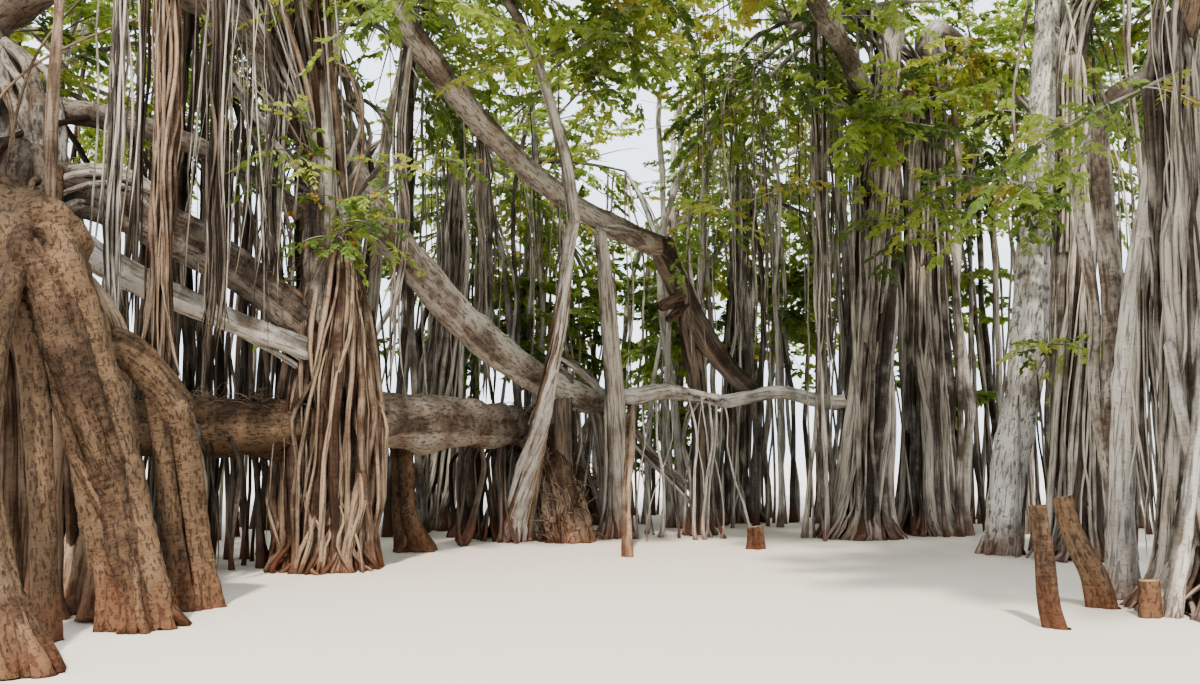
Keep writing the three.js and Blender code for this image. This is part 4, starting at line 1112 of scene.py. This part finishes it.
rootBundles = {  # tight hanging bundles: middle on plan, how many, how low, how wide, how thick the thickest, bark
    "bundle_first": ((1.95, -1.5), 24, (2.7, 3.2), 0.085, 0.022, "barkGrey"),
    "bundle_second": ((2.3, -1.0), 34, (2.3, 3.1), 0.13, 0.026, "barkBrown"),
    "bundle_third": ((2.62, -0.4), 24, (2.7, 3.4), 0.09, 0.02, "barkDark"),
    "bundle_fourth": ((1.62, -2.2), 1, (3.75, 3.8), 0.0, 0.055, "barkBrown"),
    "bundle_fifth": ((2.95, 0.9), 24, (3.6, 4.3), 0.12, 0.024, "barkGrey"),
    "bundle_sixth": ((5.0, 7.6), 14, (2.4, 3.4), 0.14, 0.04, "barkGrey"),
    "bundle_seventh": ((13.0, -1.6), 12, (0.4, 1.6), 0.1, 0.025, "barkGrey"),
    "bundle_eighth": ((1.75, -0.6), 12, (3.0, 3.6), 0.06, 0.018, "barkDark"),
    "bundle_ninth": ((4.3, 2.4), 12, (2.2, 3.6), 0.1, 0.026, "barkGrey"),
    "bundle_tenth": ((11.2, 6.2), 12, (2.6, 4.0), 0.1, 0.024, "barkGrey"),
}
rootShape = {"steps": 22, "wander": 0.17, "kinks": 0.035, "footSpread": 0.7, "footHeight": 0.18, "sideways": 2.4,
             "lean": 0.24, "upright": 0.66, "clumped": 0.6, "clumpWidth": 0.13}
bundleShape = {"steps": 36, "sway": 0.10, "upright": 0.6}
carrierTable = np.concatenate(carriers)


def carrierFor(x, y, low, over, draw):
    known = lineAndRadius(limbs[over], 40) if over else carrierTable
    away = np.hypot(known[:, 0] - x, known[:, 1] - y)
    usable = (known[:, 2] > low + 1.2) & (away < rootShape["sideways"])
    if not usable.any():
        return None
    cost = away + draw.uniform(0, 0.5) * (known[:, 2] < low + 3) + np.where(usable, 0, 1e6)
    return known[np.argmin(cost)]


# A line that rises straight from a place on plan, and turns to its carrier over the last of the way
def risingLine(x, y, low, top, share, upright):
    turn = np.clip((share - upright) / (1 - upright), 0, 1) ** 2
    return np.stack([x + (top[0] - x) * turn, y + (top[1] - y) * turn, low + (top[2] - low) * share], axis=1)


def hangRoots(name, places, lows, thicks, barkName, over, seed):
    draw = np.random.default_rng(seed)
    share = np.linspace(0, 1, rootShape["steps"])
    lines, radii = [], []
    for number, ((x, y), low, thick) in enumerate(zip(places, lows, thicks)):
        carrier = carrierFor(x, y, low, over, draw)
        if carrier is None:
            continue
        top = carrier[:3] + (draw.uniform(-0.4, 0.4) * carrier[3], draw.uniform(-0.4, 0.4) * carrier[3], 0)
        line = risingLine(x, y, low, top, share, rootShape["upright"])
        lean = draw.normal(0, rootShape["lean"], 2) * (1 if low < 0.05 else 0.3)
        line[:, :2] += lean * np.clip(1 - share / rootShape["upright"], 0, 1)[:, None]
        sway = noiseAt(seed, line[:, 2] * 0.42, number * 3.1, np.array([[seed * 1.0], [seed + 50.0]]))
        kink = noiseAt(seed + 1, line[:, 2] * 1.7, number * 5.7, np.array([[seed + 7.0], [seed + 90.0]]))
        line[:, :2] += ((sway * rootShape["wander"] + kink * rootShape["kinks"]) * np.sin(share * math.pi) ** 0.5).T
        slim = (1 - 0.35 * share) * (1 + 0.15 * kink[0])
        if low < 0.05:
            slim = slim * (1 + rootShape["footSpread"] * np.exp(-line[:, 2] / rootShape["footHeight"]))
        else:
            slim = slim * np.clip((line[:, 2] - low) / 0.9 + 0.12, 0, 1)
        lines.append(line)
        radii.append(thick * slim)
    sides = 4 if "curtain" in name else 5 if "rows" in name else 6
    tubePiece(name, lines, radii, sides, barkName, draw, seed)


def placeGroup(name, seed, x, y, count, thick, barkName, low=(0, 0), over=None):
    draw = np.random.default_rng(seed)
    places = np.column_stack([draw.uniform(*x, count), draw.uniform(*y, count)])
    clumps = places[draw.integers(0, max(count // 3, 1), count)]
    together = draw.random(count) < rootShape["clumped"]
    places[together] = clumps[together] + draw.normal(0, rootShape["clumpWidth"], (together.sum(), 2))
    lows = draw.uniform(low[0], low[1] + 1e-6, count)
    thicks = thick[0] + (thick[1] - thick[0]) * draw.random(count) ** 1.8
    hangRoots(name, places, lows, thicks, barkName, over, seed)


# A bundle of hanging roots that twist round one swaying middle line and end one by one
def hangBundle(name, seed, at, count, low, wide, thick, barkName):
    draw = np.random.default_rng(seed)
    low, high = low
    carrier = carrierFor(*at, low, None, draw)
    rise = carrier[2] - low
    share = np.linspace(0, 1, bundleShape["steps"])
    middle = risingLine(*at, low, carrier, share, bundleShape["upright"])
    number = np.arange(count)
    sway = np.array([noiseAt(seed, middle[:, 2] * 0.6, lane, float(seed)) for lane in (1.5, 9.5)])
    middle[:, :2] += (sway * bundleShape["sway"] * np.sin(share * math.pi) ** 0.5).T
    tips = draw.uniform(0, (high - low) / rise, count)[:, None]
    along = tips + (1 - tips) * share

    def drift(pace, lane):
        return noiseAt(seed + lane, along * rise * pace, number[:, None] * 3.7, float(seed + lane))

    lines = readAt(middle, along)
    angle = (number * goldenAngle)[:, None] + draw.uniform(-1.2, 1.2, count)[:, None] * along + 1.1 * drift(0.8, 3)
    away = wide * np.sqrt((number + 0.5) / count)[:, None] * (1 + 0.55 * drift(1.3, 5))
    fray = 1 + 0.9 * np.exp(-(along - tips) * rise / 0.5)
    lines[..., 0] += np.cos(angle) * away * fray
    lines[..., 1] += np.sin(angle) * away * fray
    if count > 1:  # a single root keeps its full size to its tip
        thick = thick * draw.uniform(0.35, 1.0, count)[:, None] * np.clip((along - tips) * rise / 0.45 + 0.15, 0, 1)
    radii = thick * (1 + 0.3 * drift(2.2, 8))
    tubePiece(name, lines, radii, 6, barkName, draw, seed)


for number, (name, group) in enumerate(rootGroups.items()):
    placeGroup(name, 500 + number, *group)
for number, (name, bundle) in enumerate(rootBundles.items()):
    hangBundle(name, 700 + number, *bundle)

risingShares = (0.62, 0.74, 0.86, 0.97)  # where a rising root passes along its pillar


# Roots that go on from the top of a pillar to the branches over it
def risingRoots(name, limb, count, seed):
    draw = np.random.default_rng(seed)
    line = limbLine(limb, 80)
    tip = line[-1]
    rise = carrierTable[:, 2] - tip[2]
    known = carrierTable[(rise > 0.7) & (np.linalg.norm(carrierTable[:, :3] - tip, axis=1) < 3.4)
                         & (np.hypot(*(carrierTable[:, :2] - tip[:2]).T) < 0.5 + 0.8 * rise)]
    lines = []
    for _ in range(count):
        goal = known[draw.integers(len(known)), :3]
        angle = draw.uniform(0, 2 * math.pi)
        places = []
        for share in risingShares:
            centre = line[int(share * (len(line) - 1))]
            away = shownRadius(limb, share, centre[2]) * draw.uniform(0.7, 1.05)
            angle += draw.uniform(-0.15, 0.15)
            places.append(centre + turned(angle, away))
        lift = np.array([0, 0, (goal[2] - tip[2]) * 0.45])
        places += [places[-1] * 0.75 + goal * 0.25 + lift * (1, 1, 0.6), goal]
        lines.append(lineThrough(places, 30))
    thick = (min(limb["strandSize"], 0.06) * draw.uniform(0.3, 0.95, count))[:, None] * np.linspace(0.8, 0.75, 30)
    tubePiece(name + "_rising", lines, thick, 6, limb["bark"], draw, seed)


rising = {"main_trunk": 9, "side_pillar": 22, "right_pillar_far": 22, "right_pillar_near": 16, "edge_pillar": 22,
          "rear_pillar_left": 14, "rear_pillar_right": 14}
for number, (name, count) in enumerate(rising.items()):
    risingRoots(name, limbs[name], count, 860 + number)
print("hanging and rising roots placed")

# The tangle of leaning stems that runs down over the shoulders of the woven pillar
tangle = {"tops": ((1.9, 3.9), (0.0, 2.0), (6.4, 8.9)), "thick": (0.012, 0.05), "steps": 30, "pillarTop": 4.9,
          "ends": (0.85, 0.6, 0.35, 0.15),  # kinds: how many, how far down they reach
          "kinds": {"barkPale": (34, (3.5, 4.3)), "barkGrey": (20, (2.6, 3.6)), "barkBrown": (34, (1.6, 3.2))}}
draw = np.random.default_rng(901)
pillar = limbs["woven_pillar"]
pillarLine = limbLine(pillar, 60)
for barkName, (count, shoulder) in tangle["kinds"].items():
    lines = []
    for _ in range(count):
        top = np.array([draw.uniform(*part) for part in tangle["tops"]])
        near = carrierTable[np.argmin(np.linalg.norm(carrierTable[:, :3] - top, axis=1))][:3]
        angle = draw.uniform(0, 2 * math.pi)
        over = [near, top]
        if draw.random() < 0.7:
            over.append((top + pillarLine[-1]) / 2 + draw.normal(0, 0.26, 3))
        for height in np.linspace(4.85, draw.uniform(*shoulder), 4):
            centre = pillarLine[np.argmin(np.abs(pillarLine[:, 2] - height))]
            away = shownRadius(pillar, height / tangle["pillarTop"], height) * draw.uniform(0.85, 1.08)
            angle += draw.uniform(-0.3, 0.3)
            over.append(centre * (1, 1, 0) + turned(angle, away, height))
        lines.append(lineThrough(over, tangle["steps"]))
    spread = draw.uniform(0, 1, count) ** 1.7
    thick = (tangle["thick"][0] + (tangle["thick"][1] - tangle["thick"][0]) * spread)[:, None] \
        * np.append(np.linspace(0.85, 1.0, tangle["steps"] - 4), tangle["ends"])
    tubePiece("woven_tangle_" + barkName[4:].lower(), lines, thick, 7, barkName, draw, 901 + count)
print("tangle laid")

# Limbs that are too slight for the source's solids, made the same way
slightLimbs = {
    "bough_bright": limbOf((0.95, -1.7, 4.15), (3.7, 1.75, 2.75), 0.17, 0.14, "barkPale", 3, 0.7, lift=-0.1,
        wander=0.06, ribs=0.9, lumpy=1.5),
    "stem_reddish": limbOf((3.1, 1.55, 6.1), (2.75, 1.9, 8.5), 0.19, 0.13, "barkBrown", 5, 0.55, bow=0.05),
    "stem_curved": limbOf((12.15, 7.1, 4.3), (13.0, 6.7, 8.3), 0.13, 0.12, "barkBrown", 3, 0.72, bow=-0.12),
    "stub_burnt": limbOf((8.72, 7.02, 4.48), (8.27, 6.7, 4.22), 0.12, 0.085, "barkBurnt", 5, 0.5, fine=2.2, lumpy=3.2,
        run=0.3),
    "stub_burnt_lower": limbOf((8.78, 7.05, 4.3), (8.42, 6.8, 3.98), 0.09, 0.05, "barkBurnt", 4, 0.5, fine=2.2,
        lumpy=3.0, run=0.3),
    "thatch_heel": limbOf((6.66, 6.3), (5.7, 7.05, 1.85), 0.42, 0.34, "barkBrown", 8, 0.42, flare=0.04, lift=0.7,
        wander=0.04, fine=1.3, lumpy=1.8),
    "leg_hook": limbOf((3.62, 2.95, 2.05), (4.03, 3.88, 1.95), 0.13, 0.14, "barkPale", 3, 0.66, lift=0.2, fine=1.6,
        lumpy=1.6),
    "arch_rise": limbOf((12.88, -1.0), (13.5, -1.8, 5.8), 0.1, 0.11, "barkBough", 3, 0.66, flare=0.04, ribs=1.6,
        lumpy=1.6, through=((12.88, -1.0, -0.15), (12.86, -1.05, 1.5), (12.9, -1.1, 3.0), (12.8, -1.1, 4.5),
        (12.82, -1.12, 5.15), (12.95, -1.25, 5.5), (13.2, -1.5, 5.62), (13.5, -1.8, 5.8))),
    "arch_inner": limbOf((12.86, -1.0, 1.0), (12.86, -1.1, 5.2), 0.06, 0.06, "barkBough", 3, 0.66, ribs=1.6,
        lumpy=1.4, through=((12.86, -1.0, 1.0), (12.72, -0.95, 2.2), (12.78, -0.95, 3.2), (12.64, -0.95, 4.4),
        (12.62, -0.97, 4.85), (12.72, -1.05, 5.05), (12.86, -1.1, 5.2))),
    "leg_crossing": limbOf((12.72, -2.3), (13.25, -2.3, 3.0), 0.075, 0.06, "barkPale", 3, 0.7, flare=0.03, bow=0.12),
    "leg_crossed": limbOf((13.25, -2.55), (12.95, -2.15, 2.7), 0.07, 0.05, "barkPale", 3, 0.7, flare=0.03, bow=-0.12),
    "leg_knee_front": limbOf((2.55, -3.7), (1.95, -3.25, 2.9), 0.1, 0.11, "barkPitted", 3, 0.7, flare=0.03, bow=0.06,
        fine=1.6),
    "leg_knee_pale": limbOf((2.9, -2.55), (2.2, -2.75, 2.8), 0.11, 0.12, "barkPitted", 3, 0.7, flare=0.04, bow=-0.05,
        fine=1.6),
    "leg_arch_second_left": limbOf((3.0, -1.95), (2.72, -2.15, 2.15), 0.09, 0.1, "barkPitted", 3, 0.7, flare=0.03,
        bow=-0.06, fine=1.6),
    "leg_debris": limbOf((2.2, 0.4), (2.05, 0.5, 1.9), 0.16, 0.14, "barkDark", 5, 0.5, flare=0.1),
    "stump_centre": limbOf((9.75, 4.79), (9.72, 4.79, 0.36), 0.13, 0.11, "barkPitted", 4, 0.6, cut=True, fine=2.0,
        lumpy=2.0),
    "leg_low_bough": limbOf((5.4, 9.3), (5.5, 8.9, 1.8), 0.16, 0.15, "barkGrey", 6, 0.5, flare=0.08),
}
for number, (name, limb) in enumerate(slightLimbs.items()):
    limbs[name] = limb
    makeLimb(name, limb, 80 + number, replaced=False)

# Roots that run over a joint from one limb to the next, so that the joint looks grown
bindings = {  # places on the way, how many, how far they stray, how thick, bark
    "upper_bindings": (((1.9, 0.7, 4.25), (2.7, 1.1, 3.75), (3.25, 1.4, 3.3), (3.42, 1.5, 2.3), (3.45, 1.7, 1.0)), 10,
        0.22, (0.015, 0.045), "barkBrown"),
    "bright_bindings": (((2.5, 0.5, 3.2), (3.05, 1.1, 2.95), (3.4, 1.45, 2.5), (3.45, 1.7, 1.2), (3.45, 1.8, 0.2)), 8,
        0.15, (0.015, 0.04), "barkPale"),
    "leaning_pale": (((7.45, 6.9, 2.35), (8.05, 7.6, 1.6), (8.85, 7.9, 0.82), (9.1, 7.95, 0.3)), 4, 0.12,
        (0.03, 0.055), "barkPale"),
    "knee_bindings": (((1.1, -1.8, 4.2), (1.75, -2.8, 3.75), (2.1, -3.1, 3.2), (2.45, -3.1, 2.2), (2.8, -3.05, 1.0)),
        9, 0.21, (0.04, 0.08), "barkPitted"),
    "trunk_bindings": (((0.15, -0.2, 3.2), (0.15, -0.25, 4.6), (0.0, 0.0, 5.6), (-0.4, 0.2, 6.6)), 16, 0.46,
        (0.05, 0.11), "barkBough"),
    "trunk_to_bough": (((0.3, -0.2, 3.4), (0.5, -0.25, 4.5), (1.1, 0.1, 4.85), (1.9, 0.5, 4.4)), 8, 0.24,
        (0.03, 0.07), "barkBough"),
    "trunk_to_knee": (((0.2, -0.6, 2.6), (0.3, -0.8, 3.9), (0.8, -1.5, 4.2), (1.5, -2.4, 4.0)), 9, 0.32, (0.04, 0.09),
        "barkPitted"),
    "heel_bindings": (((5.6, 8.2, 2.1), (6.0, 9.3, 2.0), (6.5, 10.3, 1.4), (6.85, 10.9, 0.1)), 12, 0.36, (0.02, 0.06),
        "barkBrown"),
    "drop_bindings": (((8.95, 7.45, 3.0), (8.86, 7.3, 3.8), (8.76, 7.08, 4.4), (8.6, 7.0, 5.0)), 9, 0.13,
        (0.03, 0.055), "barkDark"),
    "crook_bindings": (((7.2, 5.6, 5.5), (8.1, 6.8, 5.4), (8.5, 7.0, 5.1), (9.0, 7.2, 4.4)), 5, 0.14, (0.03, 0.055),
        "barkBough"),
    "centre_foot_bindings": (((6.3, 6.3, 3.3), (7.1, 7.3, 2.6), (7.35, 7.7, 1.5), (7.4, 7.9, 0.0)), 9, 0.17,
        (0.02, 0.06), "barkGrey"),
}
bindingSteps = 40
for number, (name, (places, count, stray, size, barkName)) in enumerate(bindings.items()):
    draw = np.random.default_rng(950 + number)
    middle = lineThrough(places, bindingSteps)
    _, across, over = frameOf(middle)
    angle = (np.arange(count) * 2 * math.pi / count)[:, None] \
        + 0.7 * noiseAt(number, np.linspace(0, 4, bindingSteps), np.arange(count)[:, None] * 3.3, 2.0)
    closing = np.clip(np.abs(np.linspace(-1, 1, bindingSteps)) - 0.7, 0, 1) / 0.3  # drawn together at both ends
    away = stray * draw.uniform(0.8, 1.1, count)[:, None] * (1 - 0.55 * closing)
    thick = draw.uniform(*size, count)[:, None] * np.sin(np.linspace(0.25, math.pi - 0.25, bindingSteps)) ** 0.4
    tubePiece(name, around(middle, across, over, angle, away), thick, 8, barkName, draw, 950 + number, (0.1, 0.9))
print("slight limbs and joint roots made")

# Dead fibres and rootlets that lie over the low bough, its heel and the woven pillar's top
debris = {  # limb, which stretch of it, how many, how long, how thick, which side: 1 is upward, 0 all round
    "debris_near": ("low_bough_near", (0.45, 0.98), 230, (0.15, 0.5), 0.006, 0.8),
    "debris_far": ("low_bough_far", (0.55, 0.99), 300, (0.15, 0.55), 0.007, 0.7),
    "debris_heel": ("low_bough_heel", (0.12, 0.95), 420, (0.3, 0.9), 0.008, 0.2),
    "debris_thatch": ("thatch_heel", (0.0, 0.95), 760, (0.12, 0.42), 0.011, 0.1),
    "debris_pillar": ("woven_pillar", (0.78, 1.0), 120, (0.2, 0.7), 0.007, 0.0),
    "debris_drop": ("level_bough", (0.2, 0.5), 40, (0.15, 0.4), 0.005, 0.0),
}
fibreShape = {"places": 100, "steps": 7, "upward": 2.6, "bulge": 0.16, "sag": 0.28, "farthest": 0.5}
for number, (name, (limbName, stretch, count, long, thick, upward)) in enumerate(debris.items()):
    draw = np.random.default_rng(980 + number)
    line = limbLine(limbs[limbName], fibreShape["places"])
    share = draw.uniform(*stretch, count)
    at = readAt(line, share)
    along = unit(np.gradient(line, axis=0))[(share * (len(line) - 1)).astype(int)]
    out = draw.normal(0, 1, (count, 3)) + np.array([0, 0, fibreShape["upward"]]) * upward
    out = unit(out - along * (out * along).sum(1, keepdims=True))
    radius = shownRadius(limbs[limbName], share, at[:, 2])[:, None]
    length = draw.uniform(*long, count)[:, None]
    ahead = unit(along * draw.normal(0, 1, (count, 1)) + draw.normal(0, 0.5, (count, 3)))
    start = at + out * radius * 0.98
    steps = np.linspace(0, 1, fibreShape["steps"])[:, None]
    lines = start[:, None] + (out[:, None] * fibreShape["bulge"] * np.sin(steps * math.pi)
                              + ahead[:, None] * steps) * length[:, None] - at[:, None]
    lines = at[:, None] + unit(lines) * np.minimum(np.linalg.norm(lines, axis=2, keepdims=True),
                                                   radius[:, None] + fibreShape["farthest"])
    lines[..., 2] = np.maximum(lines[..., 2] - fibreShape["sag"] * steps[:, 0] ** 2 * length, 0.01)
    tubePiece(name, lines, thick * np.linspace(1.0, 0.5, fibreShape["steps"]) * np.ones((count, 1)), 3, "barkBrown",
              draw, 980 + number)
print("dead fibres laid")

# Leafy sprigs that shoot straight from old limbs: from, by way of, towards, how far they fan, how many, leaf size
sprigs = {
    "sprigs_woven": ((3.3, 1.2, 3.6), (3.85, 1.0, 4.6), (4.9, 0.9, 5.4), 0.55, 16, 0.8),
    "sprigs_tangle": ((3.2, 0.9, 4.6), (3.3, 0.7, 5.3), (3.4, 0.4, 5.7), 0.5, 9, 0.8),
    "sprigs_stem": ((3.5, 0.8, 7.6), (4.4, 0.2, 7.6), (5.2, -0.3, 7.2), 0.9, 14, 0.9),
    "sprigs_smooth": ((14.2, 3.9, 5.0), (13.8, 3.0, 5.6), (13.4, 2.3, 5.4), 0.9, 15, 1.0),
    "sprigs_smooth_low": ((13.8, 3.6, 2.6), (14.0, 3.0, 3.2), (14.1, 2.6, 3.1), 0.5, 8, 0.9),
    "sprigs_edge": ((13.2, -2.2, 5.5), (12.2, -2.5, 5.0), (11.5, -2.7, 4.6), 0.55, 12, 0.75),
    "sprigs_right": ((12.6, 6.9, 7.6), (12.0, 5.4, 7.4), (11.4, 4.2, 6.9), 1.2, 26, 1.1),
    "sprigs_right_top": ((13.8, 7.9, 8.2), (14.0, 6.9, 8.8), (13.9, 5.8, 8.9), 1.0, 26, 1.2),
    "sprigs_right_low": ((12.5, 6.8, 5.4), (12.9, 5.6, 6.0), (13.1, 4.8, 6.0), 0.9, 12, 1.0),
    "sprigs_crook_top": ((6.4, 3.6, 6.7), (7.2, 3.6, 7.6), (7.9, 3.8, 8.4), 1.1, 22, 1.0),
    "sprigs_stem_top": ((6.35, 3.35, 7.4), (7.4, 2.6, 8.0), (8.4, 2.0, 8.6), 1.1, 20, 1.0),
    "sprigs_crook": ((8.3, 6.9, 5.4), (8.9, 6.2, 5.9), (9.5, 5.6, 5.8), 0.8, 10, 0.9),
    "sprigs_back_middle": ((8.4, 12.4, 3.0), (8.9, 12.8, 4.6), (9.3, 12.6, 6.2), 1.2, 40, 1.7),
    "sprigs_back_low": ((8.0, 11.6, 1.6), (8.6, 12.2, 2.2), (9.4, 12.6, 2.6), 0.9, 24, 1.6),
    "sprigs_back_left": ((4.2, 11.6, 3.0), (4.8, 12.0, 4.6), (5.6, 12.2, 6.0), 1.3, 36, 1.7),
    "sprigs_back_inner": ((6.2, 12.0, 3.0), (6.6, 12.4, 4.4), (7.2, 12.6, 5.8), 1.2, 32, 1.7),
    "sprigs_back_right": ((11.2, 12.0, 3.2), (11.8, 12.2, 4.6), (12.4, 12.0, 6.0), 1.3, 36, 1.7),
    "sprigs_back_gap": ((14.4, 11.6, 2.4), (14.9, 12.0, 4.0), (15.4, 11.8, 5.6), 1.3, 36, 1.7),
    "sprigs_back_far_left": ((0.6, 9.4, 2.6), (1.2, 9.8, 4.2), (1.8, 10.0, 5.6), 1.3, 34, 1.7),
}
sprigShape = {"stem": 0.022, "twig": 0.010, "sag": 0.12, "twiglets": 0.6, "leaves": 0.8, "each": 14}
for number, (name, (*places, fan, count, scale)) in enumerate(sprigs.items()):
    draw = np.random.default_rng(1000 + number)
    stem = lineThrough(places, 12)
    lines = [(stem, sprigShape["stem"])]
    for _ in range(count):
        start = stem[draw.integers(3, 12)]
        end = start + draw.normal(0, 1, 3) * fan * (0.7, 0.7, 0.45) + (0, 0, -sprigShape["sag"])
        lines.append((arched(start, end, 0.08, 12), sprigShape["twig"]))
    radii = [np.linspace(thick, thick * 0.4, 12) for _, thick in lines]
    tubePiece(name + "_twigs", [line for line, _ in lines], radii, 5, "barkPale", draw, 1000 + number, (0.2, 0.7))
    twiglets = growTwiglets([evenly(line, 8) for line, _ in lines], draw)
    twiglets[2] = twiglets[2] * sprigShape["twiglets"]
    makeLeaves(name, twiglets, draw, "far" if "back" in name else "near", sprigShape["leaves"] * scale,
               sprigShape["each"])
print("leafy sprigs grown")

# Small red figs among the sprigs over the woven pillar
figSetup = {"count": 34, "radius": 0.022, "middle": (4.0, 0.95, 4.8), "spread": (0.55, 0.25, 0.4)}
draw = np.random.default_rng(77)
figFinish = Finish("figSkin")
figTint = figFinish.noise(figFinish.place(), 40.0, 2.0)
figColour = figFinish.mixed(figTint, (0.42, 0.03, 0.012), (0.62, 0.16, 0.03))
figFinish.done(figColour, 0.45)
bpy.ops.mesh.primitive_ico_sphere_add(subdivisions=2, radius=figSetup["radius"])
figShape = bpy.context.object
ball = readPoints(figShape.data)
ballFaces = np.array([tuple(polygon.vertices) for polygon in figShape.data.polygons])
bpy.data.objects.remove(figShape)
places = draw.normal(0, 1, (figSetup["count"], 3)) * figSetup["spread"] + figSetup["middle"]
leafRoots = np.concatenate([readPoints(bpy.data.objects[name].data)
                            for name in ("sprigs_woven_leaves", "sprigs_tangle_leaves")])[::6]
places = leafRoots[np.argmin(np.linalg.norm(leafRoots[None] - places[:, None], axis=2), axis=1)]
figPoints = (ball[None] + places[:, None]).reshape(-1, 3)
figFaces = (ballFaces[None] + (np.arange(len(places)) * len(ball))[:, None, None]).reshape(-1, 3)
meshFromArrays("figs", figPoints, [figFaces], figFinish.material, None)

shownTriangles = sum(len(polygon.vertices) - 2 for piece in scene.objects if piece.type == "MESH"
                     and not piece.hide_render for polygon in piece.data.polygons)
print("triangles shown:", shownTriangles)
